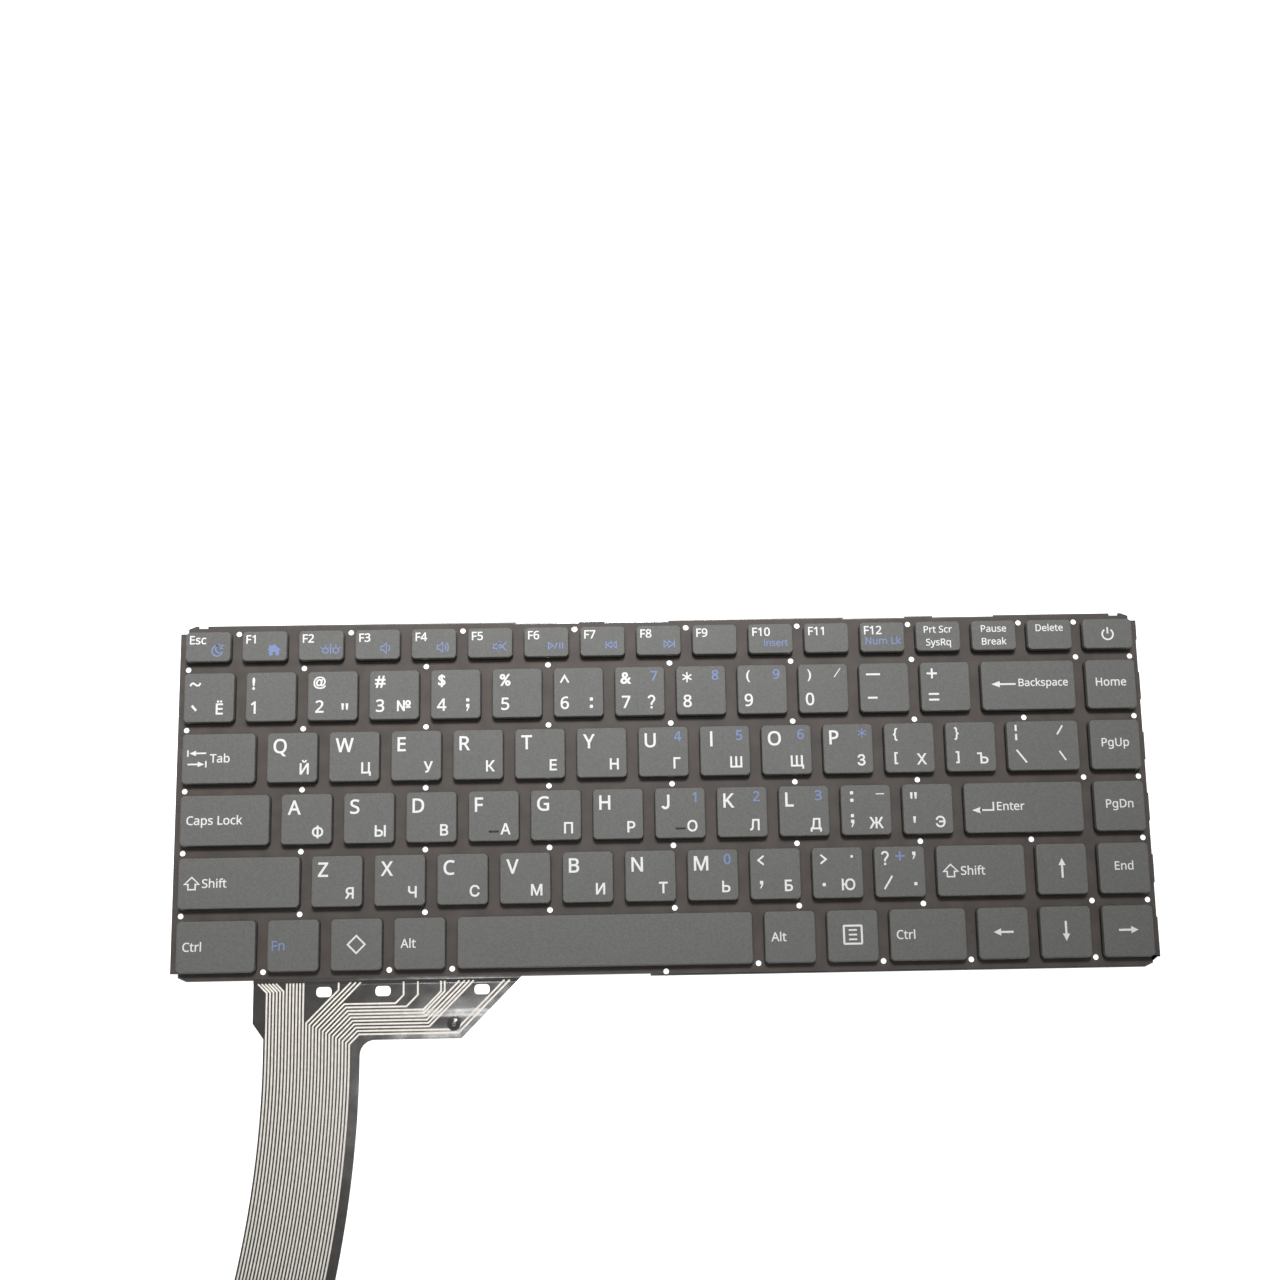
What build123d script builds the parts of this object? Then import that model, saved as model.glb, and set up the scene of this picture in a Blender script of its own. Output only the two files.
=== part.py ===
from build123d import *
from math import acos, asin, atan2, degrees, hypot, radians, tan
import os

# A frameless laptop keyboard with a film tail, in millimetres.
# +X points along the rows to the right, +Y to the back row and +Z up.
# The origin is the centre of the base plate's underside.

# Key field: a slot is a cap and the gap after it
pitch = 19.05
key_gap = 3.75
function_depth = 9.25
backspace_slot = 32.85
tab_slot = 26.0
caps_lock_slot = 30.75
left_shift_slot = 40.3
left_ctrl_slot = 27.4
right_ctrl_slot = 26.8

# Key caps: moulded shells, open below
cap_height = 1.7
cap_top_wall = 0.8
cap_side_wall = 0.9
cap_corner = 1.0
cap_draft = 6.0
key_travel = 1.5
bottom_clearance = 0.4

# Base plate
plate_thickness = 0.4
margin_left = 2.5
margin_right = 2.6
margin_back = 2.7
margin_front = 2.5
corner_notch = 2.4
front_slant_width = 2.6
front_slant_depth = 1.2
back_slant_width = 2.2
back_slant_depth = 0.85
front_lip = 0.6
front_lip_start = 145.2
back_bite_width = 2.75
back_bite_depth = 0.7
back_bite_place = 7.0
back_recess_width = 19.2
back_recess_depth = 0.4
back_tab_width = 9.0
back_tab_places = (128.8, 232.0)
side_tab_length = 8.6
side_recess_depth = 0.3

# Rivet holes through the plate and the membrane
rivet_hole_radius = 0.85
membrane_hole_clearance = 0.15
edge_hole_inset = 2.65
back_hole_inset = 2.6
front_hole_inset = 2.55
lip_hole_place = 4.8
lip_hole_inset = 1.2

# Membrane: bonded circuit films with a tail cut from the lowest film
membrane_thickness = 0.3
membrane_inset = 0.4
tail_film_thickness = 0.12
tail_bend_radius = 2.0
tail_ease_radius = 20.0
tail_root_start = 25.2
tail_root_width = 80.9
tail_shoulder_depth = 12.7
tail_shoulder_inset = 3.3
tail_flare_depth = 18.1
tail_fillet = 4.5
tail_strip_width = 29.0
tail_length = 97.7
tail_curve_radius = 300.0
tail_slot_length = 4.6
tail_slot_width = 3.0
tail_slot_corner = 0.9
tail_slot_depth = 3.7
tail_left_slots = (21.3, 39.1)
tail_right_slot = 11.9

# Adhesive strip under the tail's root, and stiffener on the tail's tip
adhesive_thickness = 0.1
adhesive_end = 9.1
stiffener_thickness = 0.2
stiffener_length = 9.0

# Rubber dome under each key
dome_radius = 3.0
dome_draft = 24.0
dome_sides = 5
fixed_dome_sides = 4

# Scissor lift under each key: two U-shaped leaves, one inside the other
lift_length = 10.4
lift_width = 11.4
lift_arm = 1.0
lift_thickness = 0.5
lift_play = 0.2
seat_clearance = 0.05

# Stabilizer wire under each wide key
stabilizer_from_width = 26.5
stabilizer_wire = 0.7
stabilizer_depth = 8.0
stabilizer_end_gap = 1.0

# Names along each row, from the left, without the keys that have slots of their own
function_names = ["escape"] + [f"f{number}" for number in range(1, 13)] + ["print_screen", "pause", "delete"]
number_names = ["backquote"] + list("1234567890") + ["minus", "equals"]
upper_names = list("qwertyuiop") + ["left_bracket", "right_bracket"]
home_names = list("asdfghjkl") + ["semicolon", "quote"]
lower_names = list("zxcvbnm") + ["comma", "period", "slash"]

# Keys that are nodes of their own; the others are grouped
single_keys = list("abcdefghijklmnopqrstuvwxyz1234567890")
single_keys += ["escape", "space", "enter", "backspace", "tab", "caps_lock", "left_shift", "right_shift"]
single_keys += ["up", "down", "left", "right"]
key_groups = {
    "function_row_keys": function_names[1:] + ["power"],
    "symbol_keys": ["backquote", "minus", "equals", "left_bracket", "right_bracket", "backslash",
                    "semicolon", "quote", "comma", "period", "slash"],
    "modifier_keys": ["left_ctrl", "fn", "system", "left_alt", "right_alt", "menu", "right_ctrl"],
    "navigation_keys": ["home", "page_up", "page_down", "end"],
}

# Worked-out sizes of the key field and the plate
cap_size = pitch - key_gap
column_start = len(number_names) * pitch + backspace_slot
function_slot = column_start / len(function_names)
function_row = function_depth + key_gap
field_width = column_start + cap_size
field_depth = function_row + 5 * pitch - key_gap
plate_width = field_width + margin_left + margin_right
plate_depth = field_depth + margin_back + margin_front
plate_left = -plate_width / 2
plate_front = -plate_depth / 2
field_left = plate_left + margin_left
field_back = plate_depth / 2 - margin_back

# Worked-out heights, from the underside up
membrane_top = plate_thickness + membrane_thickness
cap_rim = membrane_top + bottom_clearance + key_travel
cap_ceiling = cap_rim + cap_height - cap_top_wall
lift_room = cap_ceiling - membrane_top
cap_flare = cap_height * tan(radians(cap_draft))


def row_slots():
    """Each row from back to front as (name, slot width); None takes up what is left of the row."""
    def units(names):
        return [(name, pitch) for name in names]

    return [
        [(name, function_slot) for name in function_names] + units(["power"]),
        units(number_names) + [("backspace", None)] + units(["home"]),
        [("tab", tab_slot)] + units(upper_names) + [("backslash", None)] + units(["page_up"]),
        [("caps_lock", caps_lock_slot)] + units(home_names) + [("enter", None)] + units(["page_down"]),
        [("left_shift", left_shift_slot)] + units(lower_names) + [("right_shift", None)] + units(["up", "end"]),
        [("left_ctrl", left_ctrl_slot)] + units(["fn", "system", "left_alt"]) + [("space", None)]
        + units(["right_alt", "menu"]) + [("right_ctrl", right_ctrl_slot)] + units(["left", "down", "right"]),
    ]


def key_layout():
    """The centre, width and depth of every cap's top."""
    keys = {}
    row_back = field_back
    for row_number, row in enumerate(row_slots()):
        row_depth = function_row if row_number == 0 else pitch
        spare = column_start + pitch - sum(slot for name, slot in row if slot)
        left = field_left
        for name, slot in row:
            width = (slot or spare) - key_gap
            depth = row_depth - key_gap
            keys[name] = (left + width / 2, row_back - depth / 2, width, depth)
            left += width + key_gap
        row_back -= row_depth
    return keys


keys = key_layout()


def gap_after(name):
    """The middle of the gap on a key's right."""
    x, y, width, depth = keys[name]
    return x + width / 2 + key_gap / 2


def gap_before(name):
    """The middle of the gap in front of a key."""
    x, y, width, depth = keys[name]
    return y - depth / 2 - key_gap / 2


def edge_holes():
    """Rivet holes at both ends of the frontmost and backmost gaps between rows."""
    side = plate_width / 2 - edge_hole_inset
    return [(x, gap_before(name)) for x in (-side, side) for name in ("escape", "left_shift")]


def inner_holes():
    """The other rivet holes: along the back, between the rows and along the front."""
    back = plate_depth / 2 - back_hole_inset
    front = plate_front + front_hole_inset
    side = plate_width / 2 - edge_hole_inset
    places = [(gap_after(name), back) for name in function_names[::2] + ["delete"]]
    row_starts = ["escape", "backquote", "tab", "caps_lock", "left_shift"]
    for number, start in enumerate(row_starts):
        last = "delete" if number % 2 == 0 else "pause"
        places += [(gap_after(name), gap_before(start)) for name in number_names[1:12:2] + [last]]
        if start not in ("escape", "left_shift"):
            places += [(-side, gap_before(start)), (side, gap_before(start))]
    front_gaps = ["left_ctrl", "system", "left_alt", "space", "menu", "right_ctrl", "down"]
    places += [(gap_after(name), front) for name in front_gaps]
    places.append((plate_left + front_lip_start + lip_hole_place, plate_front - front_lip + lip_hole_inset))
    return places


def square_hole(radius):
    """A plain four-sided stand-in for a round hole, its sides along the plate's edges."""
    return Rectangle(2 * radius, 2 * radius)


def drill(profile, places, bottom, top):
    """Straight cutters through a sheet that lies between two heights."""
    return [Pos(x, y, bottom) * extrude(profile, top - bottom) for x, y in places]


def back_cuts():
    """Cuts into the back edge as (place, width, depth): a bite near each end and recesses beside two tabs."""
    ends = plate_width / 2 - back_bite_place
    reach = (back_tab_width + back_recess_width) / 2
    cuts = [(x, back_bite_width, back_bite_depth) for x in (-ends, ends)]
    for place in back_tab_places:
        middle = plate_left + place
        cuts += [(middle + x, back_recess_width, back_recess_depth) for x in (-reach, reach)]
    return cuts


def side_recesses():
    """Shallow recesses in the right edge, between the tabs beside its keys."""
    recess = Rectangle(2 * side_recess_depth, pitch - side_tab_length)
    behind = ("power", "home", "page_up", "page_down", "end")
    return [Pos(plate_width / 2, gap_before(name)) * recess for name in behind]


def slant(x, y, width, depth):
    """A triangle that cuts a corner, with its reach along both edges."""
    return Polygon((x, y), (x + width, y), (x, y + depth), align=None)


def sheet_outline(inset):
    """The plate's outline with its cut corners, stepped front edge and cut back edge, taken in by an inset."""
    width = plate_width - 2 * inset
    depth = plate_depth - 2 * inset
    lip_width = plate_width - front_lip_start - corner_notch - inset
    lip = Rectangle(lip_width, front_lip + depth / 2, align=(Align.MAX, Align.MIN))
    outline = Rectangle(width, depth) + Pos(width / 2 - corner_notch, -depth / 2 - front_lip) * lip
    corner = Rectangle(2 * corner_notch, 2 * corner_notch)
    outline -= [Pos(x * width / 2, y * depth / 2) * corner for x in (-1, 1) for y in (-1, 1)]
    for side, front in ((-1, -depth / 2), (1, -depth / 2 - front_lip)):
        end = side * (width / 2 - corner_notch)
        outline -= slant(end, front, -side * front_slant_width, front_slant_depth)
        outline -= slant(end, depth / 2, -side * back_slant_width, -back_slant_depth)
    cuts = [Pos(x, depth / 2) * Rectangle(wide + 2 * inset, 2 * deep) for x, wide, deep in back_cuts()]
    return outline - cuts


def base_plate():
    plate = extrude(sheet_outline(0) - side_recesses(), plate_thickness)
    plate -= drill(Circle(rivet_hole_radius), edge_holes(), 0, plate_thickness)
    return plate - drill(square_hole(rivet_hole_radius), inner_holes(), 0, plate_thickness)


def tail_place(along, out):
    """A place on the tail, from the plate's left end and out from its front edge."""
    return (plate_left + along, plate_front - out)


def tail_outline():
    """The tail's flare and its strip, which curves to the left."""
    strip_left = tail_root_start + tail_shoulder_inset
    strip_right = strip_left + tail_strip_width
    strip_start = tail_flare_depth + tail_fillet
    root_right = tail_root_start + tail_root_width
    turn = degrees(asin((tail_length - strip_start) / tail_curve_radius))
    centre = tail_place(strip_left - tail_curve_radius, strip_start)
    left_side = CenterArc(centre, tail_curve_radius, 0, -turn)
    right_side = CenterArc(centre, tail_curve_radius + tail_strip_width, 0, -turn)
    left_edge = Polyline(
        tail_place(tail_root_start, -2 * membrane_inset),
        tail_place(tail_root_start, tail_shoulder_depth),
        tail_place(strip_left, tail_shoulder_depth + 1.4 * tail_shoulder_inset),
        left_side @ 0,
    )
    fillet_end = tail_place(strip_right + tail_fillet, tail_flare_depth)
    inside_corner = RadiusArc(right_side @ 0, fillet_end, tail_fillet)
    right_edge = Polyline(
        inside_corner @ 1,
        tail_place(root_right - tail_flare_depth, tail_flare_depth),
        tail_place(root_right, 0),
        tail_place(root_right, -2 * membrane_inset),
        left_edge @ 0,
    )
    tip = Line(left_side @ 1, right_side @ 1)
    return make_face(left_edge + left_side + tip + right_side + inside_corner + right_edge)


def step_down(start, drop, radius):
    """Two arcs that take the tail's film down by a small drop on its way out."""
    turn = degrees(acos(1 - drop / 2 / radius))
    first = JernArc(start, (-1, 0), radius, turn)
    second = JernArc(first @ 1, first % 1, radius, -turn)
    return first, second


def tail_film():
    """The tail, level with the membrane at its root and lying on the table further out."""
    root = plate_front + 2 * membrane_inset
    end = plate_front - tail_length - tail_strip_width
    drop = plate_thickness - adhesive_thickness
    off_plate = step_down((plate_front - membrane_inset / 2, plate_thickness), drop, tail_bend_radius)
    strip_end = (plate_front - adhesive_end, adhesive_thickness)
    off_strip = step_down(strip_end, adhesive_thickness, tail_ease_radius)
    lower = Line((root, plate_thickness), off_plate[0] @ 0) + off_plate[0] + off_plate[1]
    lower += Line(off_plate[1] @ 1, off_strip[0] @ 0) + off_strip[0] + off_strip[1]
    lower += Line(off_strip[1] @ 1, (end, 0))
    upper = Pos(0, tail_film_thickness) * lower
    ends = Line((root, plate_thickness), (root, plate_thickness + tail_film_thickness))
    ends += Line((end, 0), (end, tail_film_thickness))
    section = Plane.YZ * make_face(lower + upper + ends)
    film = Pos(plate_left, 0, 0) * extrude(section, plate_width)
    return film & extrude(tail_outline(), membrane_top)


def tail_slots(corner):
    """Cutters for the locating slots across the tail's root, with their corners cut or square."""
    slot = Rectangle(tail_slot_length, tail_slot_width)
    if corner:
        slot = chamfer(slot.vertices(), corner)
    places = [tail_root_start + along for along in tail_left_slots]
    places.append(tail_root_start + tail_root_width - tail_right_slot)
    return drill(slot, [tail_place(along, tail_slot_depth) for along in places], 0, membrane_top)


def membrane():
    films = Pos(0, 0, plate_thickness) * extrude(sheet_outline(membrane_inset), membrane_thickness)
    films += tail_film()
    window = square_hole(rivet_hole_radius + membrane_hole_clearance)
    films -= drill(window, edge_holes() + inner_holes(), plate_thickness, membrane_top)
    return films - tail_slots(tail_slot_corner)


def tail_adhesive():
    """A lined strip of adhesive across the tail's root, on its underside."""
    drop = plate_thickness - adhesive_thickness
    bend = step_down((0, 0), drop, tail_bend_radius)[1] @ 1
    start = membrane_inset / 2 - bend.X
    strip = Rectangle(plate_width, adhesive_end - start, align=(Align.CENTER, Align.MAX))
    band = tail_outline() & Pos(0, plate_front - start) * strip
    return extrude(band, adhesive_thickness) - tail_slots(0)


def tail_stiffener():
    """A stiff tab on top of the tail's tip, for the connector's grip."""
    strip_start = tail_flare_depth + tail_fillet
    strip_left = tail_root_start + tail_shoulder_inset
    turn = degrees(asin((tail_length - strip_start) / tail_curve_radius))
    centre = tail_place(strip_left - tail_curve_radius, strip_start)
    tab = Rectangle(tail_strip_width, stiffener_length, align=(Align.MIN, Align.MIN))
    tab = Pos(*centre) * Rot(0, 0, -turn) * Pos(tail_curve_radius, 0) * tab
    return Pos(0, 0, tail_film_thickness) * extrude(tab, stiffener_thickness)


def cap(width, depth):
    """A key cap with its rim at its rest height, centred on its key."""
    rim_width = width + 2 * cap_flare
    rim_depth = depth + 2 * cap_flare
    rim = chamfer(Rectangle(rim_width, rim_depth).vertices(), cap_corner)
    pocket = Rectangle(rim_width - 2 * cap_side_wall, rim_depth - 2 * cap_side_wall)
    shell = extrude(rim, cap_height, taper=cap_draft) - extrude(pocket, cap_height - cap_top_wall)
    return Pos(0, 0, cap_rim) * shell


def dome(sides):
    """The rubber dome between the membrane and the cap."""
    return Pos(0, 0, membrane_top) * extrude(RegularPolygon(dome_radius, sides), lift_room, taper=dome_draft)


def lift_leaf(width, cap_depth):
    """A U-shaped leaf that leans from the membrane up to the cap, its bar at the cap's end."""
    pocket_depth = cap_depth + 2 * cap_flare - 2 * cap_side_wall
    length = min(lift_length, pocket_depth - 2 * lift_play)
    reach = hypot(length / 2, lift_thickness / 2)
    tilt = degrees(asin((lift_room / 2 - seat_clearance) / reach) - atan2(lift_thickness, length))
    window = Pos(0, -lift_arm) * Rectangle(width - 2 * lift_arm, length)
    leaf = extrude(Rectangle(width, length) - window, lift_thickness / 2, both=True)
    return Pos(0, 0, membrane_top + lift_room / 2) * Rot(tilt, 0, 0) * leaf


def stabilizer(width):
    """A wire with its long run under the back of a wide cap and its ends on the membrane."""
    span = width - 2 * cap_side_wall - 2 * stabilizer_end_gap
    back = cap_size / 2 - cap_side_wall - seat_clearance
    reach = hypot(stabilizer_depth, stabilizer_wire)
    lean = asin((lift_room - 2 * seat_clearance) / reach) - atan2(stabilizer_wire, stabilizer_depth)
    front_middle = (Align.CENTER, Align.MIN)
    window = Rectangle(span - 2 * stabilizer_wire, stabilizer_depth - stabilizer_wire, align=front_middle)
    wire = Rectangle(span, stabilizer_depth, align=front_middle) - window
    wire = Rot(degrees(lean), 0, 0) * extrude(wire, stabilizer_wire)
    lift = wire.bounding_box().min.Z
    reach_back = wire.bounding_box().max.Y
    return Pos(0, back - reach_back, membrane_top + seat_clearance - lift) * wire


def under_keys(names, make):
    """One piece under each named key, made from the key's width and depth."""
    return Compound(children=[Pos(*keys[name][:2]) * make(*keys[name][2:]) for name in names])


def export(node, shape):
    export_step(shape, f"parts/{node}.step")


os.makedirs("parts", exist_ok=True)

export("base_plate", base_plate())
export("membrane", membrane())
export("tail_adhesive", tail_adhesive())
export("tail_stiffener", tail_stiffener())

# What lifts each single key
inner_width = lift_width - 2 * lift_arm - 2 * lift_play
wide_keys = [name for name in single_keys if keys[name][2] > stabilizer_from_width]
turned = Rot(0, 0, 180)
export("rubber_domes", under_keys(single_keys, lambda width, depth: dome(dome_sides)))
export("scissor_outer_leaves", under_keys(single_keys, lambda width, depth: lift_leaf(lift_width, depth)))
inner_leaves = under_keys(single_keys, lambda width, depth: turned * lift_leaf(inner_width, depth))
export("scissor_inner_leaves", inner_leaves)
export("stabilizer_wires", under_keys(wide_keys, lambda width, depth: stabilizer(width)))

# Key caps: single keys first, then groups whose caps are one piece with the domes that carry them
for name in single_keys:
    export(f"key_{name}", under_keys([name], cap))
for group, names in key_groups.items():
    export(group, under_keys(names, lambda width, depth: cap(width, depth) + dome(fixed_dome_sides)))
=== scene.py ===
from math import acos, asin, atan2, cos, degrees, hypot, pi, radians, sin, tan

import bmesh
import bpy
from mathutils import Matrix, Vector
from mathutils.geometry import delaunay_2d_cdt


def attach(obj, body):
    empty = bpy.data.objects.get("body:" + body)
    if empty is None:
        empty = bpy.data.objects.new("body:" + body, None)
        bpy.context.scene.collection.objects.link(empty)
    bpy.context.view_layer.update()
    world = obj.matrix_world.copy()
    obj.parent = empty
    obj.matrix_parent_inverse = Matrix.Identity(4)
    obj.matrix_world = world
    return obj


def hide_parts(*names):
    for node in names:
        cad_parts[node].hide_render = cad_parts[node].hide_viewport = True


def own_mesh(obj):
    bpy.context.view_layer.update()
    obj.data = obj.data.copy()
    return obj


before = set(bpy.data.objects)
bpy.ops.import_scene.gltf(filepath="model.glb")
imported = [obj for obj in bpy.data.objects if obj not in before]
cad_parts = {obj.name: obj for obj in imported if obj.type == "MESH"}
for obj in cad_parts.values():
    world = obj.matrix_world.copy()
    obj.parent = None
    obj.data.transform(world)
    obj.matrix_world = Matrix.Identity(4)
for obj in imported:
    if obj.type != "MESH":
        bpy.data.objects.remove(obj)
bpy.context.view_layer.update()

# A frameless laptop keyboard with a film tail, in the part's own frame.
# Lengths are in millimetres until a mesh is finished, when they become metres.
millimetre = 0.001

# Key field: a slot is a cap and the gap after it
pitch = 19.05
key_gap = 3.75
function_depth = 9.25
backspace_slot = 32.85
tab_slot = 26.0
caps_lock_slot = 30.75
left_shift_slot = 40.3
left_ctrl_slot = 27.4
right_ctrl_slot = 26.8

# Key caps
cap_height = 1.7
cap_top_wall = 0.8
cap_side_wall = 0.9
cap_corner = 1.25
cap_edge = 0.32
cap_draft = 6.0
key_travel = 1.5
bottom_clearance = 0.4
cap_flat_margin = 0.12
pocket_corner = 0.4
corner_steps = 7
edge_steps = 4
cap_sharp_angle = 50.0
homing_bar = (3.1, 0.5, 0.3)
homing_bar_end = 0.24
homing_bar_edge = 0.1
homing_bar_crown = (0.94, 0.6)
homing_bar_sink = 0.1
homing_bar_inset = 2.9

# Base plate and rivet holes
plate_thickness = 0.4
margin_left = 2.5
margin_right = 2.6
margin_back = 2.7
margin_front = 2.5
corner_notch = 2.4
front_slant_width = 2.6
front_slant_depth = 1.2
back_slant_width = 2.2
back_slant_depth = 0.85
front_lip = 0.6
front_lip_start = 145.2
back_bite_width = 2.75
back_bite_depth = 0.7
back_bite_place = 7.0
back_recess_width = 19.2
back_recess_depth = 0.4
back_tab_width = 9.0
back_tab_places = (128.8, 232.0)
side_tab_length = 8.6
side_recess_depth = 0.3
rivet_hole_radius = 0.85
hole_steps = 20
membrane_hole_clearance = 0.1
edge_hole_inset = 2.65
back_hole_inset = 2.6
front_hole_inset = 2.55
lip_hole_place = 4.8
lip_hole_inset = 1.2

# Marks in the coating on the plate's underside
coating = 0.06
hole_ring_radius = 1.3
boss_radius = 2.5
boss_middle_radius = 1.7
boss_steps = 28
boss_middle_steps = 24
boss_places = ((-97, -33), (5.8, -33), (112.6, -33), (-111, 31), (-15.3, 31), (80.4, 31))
latch_places = ((-60, -45.6), (23.4, -45.6), (103.9, 29.7), (127.5, 29.7))
latch_size = (2.4, 0.9)
latch_corner = 0.2
latch_reach = 1.1
dimple_radius = 0.55
dimple_steps = 8

# Membrane: a lower film, and a cover film with a window under each key
membrane_thickness = 0.3
membrane_inset = 0.4
cover_film = 0.12
window_margin = 0.15
window_corner = 1.3

# Tail
tail_film_thickness = 0.12
tail_bend_radius = 2.0
tail_ease_radius = 20.0
tail_bend_step = 0.2
tail_bend_cuts = 9
tail_ease_step = 0.4
tail_ease_cuts = 8
tail_root_start = 25.2
tail_root_width = 80.9
tail_shoulder_depth = 12.7
tail_shoulder_inset = 3.3
tail_shoulder_slope = 1.4
tail_flare_depth = 18.1
tail_fillet = 4.5
tail_strip_width = 29.0
tail_length = 97.7
tail_curve_radius = 300.0
tail_slot_length = 4.6
tail_slot_width = 3.0
tail_slot_corner = 1.1
tail_slot_depth = 3.7
tail_left_slots = (21.3, 39.1)
tail_right_slot = 11.9
tail_dimple_inset = 20.4
tail_dimple_out = 13.9
tail_dimple_radius = 2.2
tail_dimple_height = 0.4
tail_dimple_rings = 8
adhesive_thickness = 0.1
adhesive_end = 9.1
stiffener_thickness = 0.2
stiffener_length = 9.0

# Printed traces on the tail
trace_width = 0.52
trace_height = 0.012
trace_pitch = 1.0
trace_left = 29.3
trace_start = 1.0
trace_step = 0.3
trace_lines = 26
trace_bent_lines = 6
trace_straight_lines = 6
trace_short_lines = 4
trace_knee = 3.7
trace_knee_step = 0.08
trace_turn = 12.8
trace_turn_step = 0.5
trace_raised_turn = 3.2
trace_level = 7.4
trace_straight_heads = ((70.5, 5.0), (74.8, 5.0), (81.8, 4.1), (82.9, 4.1))
trace_slanted_heads = (87.4, 89.0, 90.4, 91.7, 101.0, 102.6)
contact_length = 4.5
contact_width = 0.62
contact_inset = 1.0

# What lifts each key
dome_radius = 3.0
dome_steps = 20
dome_flange = 0.6
dome_flange_height = 0.25
dome_foot_height = 0.35
dome_bell = ((0.82, 0.5), (0.62, 0.75), (0.6, 1.0))
lift_length = 10.4
lift_width = 11.4
lift_arm = 1.0
lift_thickness = 0.5
lift_edge = 0.08
lift_play = 0.2
seat_clearance = 0.05
stabilizer_from_width = 26.5
stabilizer_wire = 0.7
stabilizer_depth = 8.0
stabilizer_end_gap = 1.0

# Names along each row, from the left, without the keys that have slots of their own
function_names = ["escape"] + [f"f{number}" for number in range(1, 13)] + ["print_screen", "pause", "delete"]
number_names = ["backquote"] + list("1234567890") + ["minus", "equals"]
upper_names = list("qwertyuiop") + ["left_bracket", "right_bracket"]
home_names = list("asdfghjkl") + ["semicolon", "quote"]
lower_names = list("zxcvbnm") + ["comma", "period", "slash"]
key_groups = {
    "function_row_keys": function_names[1:] + ["power"],
    "symbol_keys": ["backquote", "minus", "equals", "left_bracket", "right_bracket", "backslash",
                    "semicolon", "quote", "comma", "period", "slash"],
    "modifier_keys": ["left_ctrl", "fn", "system", "left_alt", "right_alt", "menu", "right_ctrl"],
    "navigation_keys": ["home", "page_up", "page_down", "end"],
}

# Worked-out sizes of the key field and the plate
cap_size = pitch - key_gap
column_start = len(number_names) * pitch + backspace_slot
function_slot = column_start / len(function_names)
function_row = function_depth + key_gap
field_width = column_start + cap_size
field_depth = function_row + 5 * pitch - key_gap
plate_width = field_width + margin_left + margin_right
plate_depth = field_depth + margin_back + margin_front
plate_left = -plate_width / 2
plate_front = -plate_depth / 2
field_left = plate_left + margin_left
field_back = plate_depth / 2 - margin_back

# Worked-out heights, from the underside up
membrane_top = plate_thickness + membrane_thickness
cap_rim = membrane_top + bottom_clearance + key_travel
cap_ceiling = cap_rim + cap_height - cap_top_wall
cap_top = cap_rim + cap_height
lift_room = cap_ceiling - membrane_top
cap_slope = tan(radians(cap_draft))


# Key layout

def row_slots():
    """Each row from back to front as (name, slot width); None takes up what is left of the row."""
    def units(names):
        return [(name, pitch) for name in names]

    return [
        [(name, function_slot) for name in function_names] + units(["power"]),
        units(number_names) + [("backspace", None)] + units(["home"]),
        [("tab", tab_slot)] + units(upper_names) + [("backslash", None)] + units(["page_up"]),
        [("caps_lock", caps_lock_slot)] + units(home_names) + [("enter", None)] + units(["page_down"]),
        [("left_shift", left_shift_slot)] + units(lower_names) + [("right_shift", None)]
        + units(["up", "end"]),
        [("left_ctrl", left_ctrl_slot)] + units(["fn", "system", "left_alt"]) + [("space", None)]
        + units(["right_alt", "menu"]) + [("right_ctrl", right_ctrl_slot)] + units(["left", "down", "right"]),
    ]


def key_layout():
    """The centre, width and depth of every cap's top."""
    places = {}
    row_back = field_back
    for row_number, row in enumerate(row_slots()):
        row_depth = function_row if row_number == 0 else pitch
        spare = column_start + pitch - sum(slot for name, slot in row if slot)
        left = field_left
        for name, slot in row:
            width = (slot or spare) - key_gap
            depth = row_depth - key_gap
            places[name] = (left + width / 2, row_back - depth / 2, width, depth)
            left += width + key_gap
        row_back -= row_depth
    return places


keys = key_layout()
group_of = {name: group for group, names in key_groups.items() for name in names}


def gap_after(name):
    """The middle of the gap on a key's right."""
    x, y, width, depth = keys[name]
    return x + width / 2 + key_gap / 2


def gap_before(name):
    """The middle of the gap in front of a key."""
    x, y, width, depth = keys[name]
    return y - depth / 2 - key_gap / 2


def rivet_holes():
    """Rivet holes along the back, between the rows, at the ends of the rows and along the front."""
    back = plate_depth / 2 - back_hole_inset
    front = plate_front + front_hole_inset
    side = plate_width / 2 - edge_hole_inset
    places = [(gap_after(name), back) for name in function_names[::2] + ["delete"]]
    for number, start in enumerate(["escape", "backquote", "tab", "caps_lock", "left_shift"]):
        last = "delete" if number % 2 == 0 else "pause"
        places += [(gap_after(name), gap_before(start)) for name in number_names[1:12:2] + [last]]
        places += [(-side, gap_before(start)), (side, gap_before(start))]
    front_gaps = ["left_ctrl", "system", "left_alt", "space", "menu", "right_ctrl", "down"]
    places += [(gap_after(name), front) for name in front_gaps]
    places.append((plate_left + front_lip_start + lip_hole_place, plate_front - front_lip + lip_hole_inset))
    return places


# Stage: levels of light, the floor, and the camera's place and its turn in degrees
world_light = 0.1
floor_glow = 0.7
floor_half = 2000.0
floor_level = -0.06
camera_place = (-16.6, -65.7, 558.3)
camera_turn = (11.58, -0.82, -1.04)
camera_lens = 50.9
camera_sensor = 36.0


# Mesh helpers
weld = 0.0005
mitre_limit = 0.5


def arc(centre, radius, start, end, steps):
    """Points along an arc, from one angle in degrees to another."""
    angles = [radians(start + (end - start) * step / steps) for step in range(steps + 1)]
    return [(centre[0] + radius * cos(angle), centre[1] + radius * sin(angle)) for angle in angles]


def circle(centre, radius, steps):
    return arc(centre, radius, 0, 360, steps)[:-1]


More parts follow.
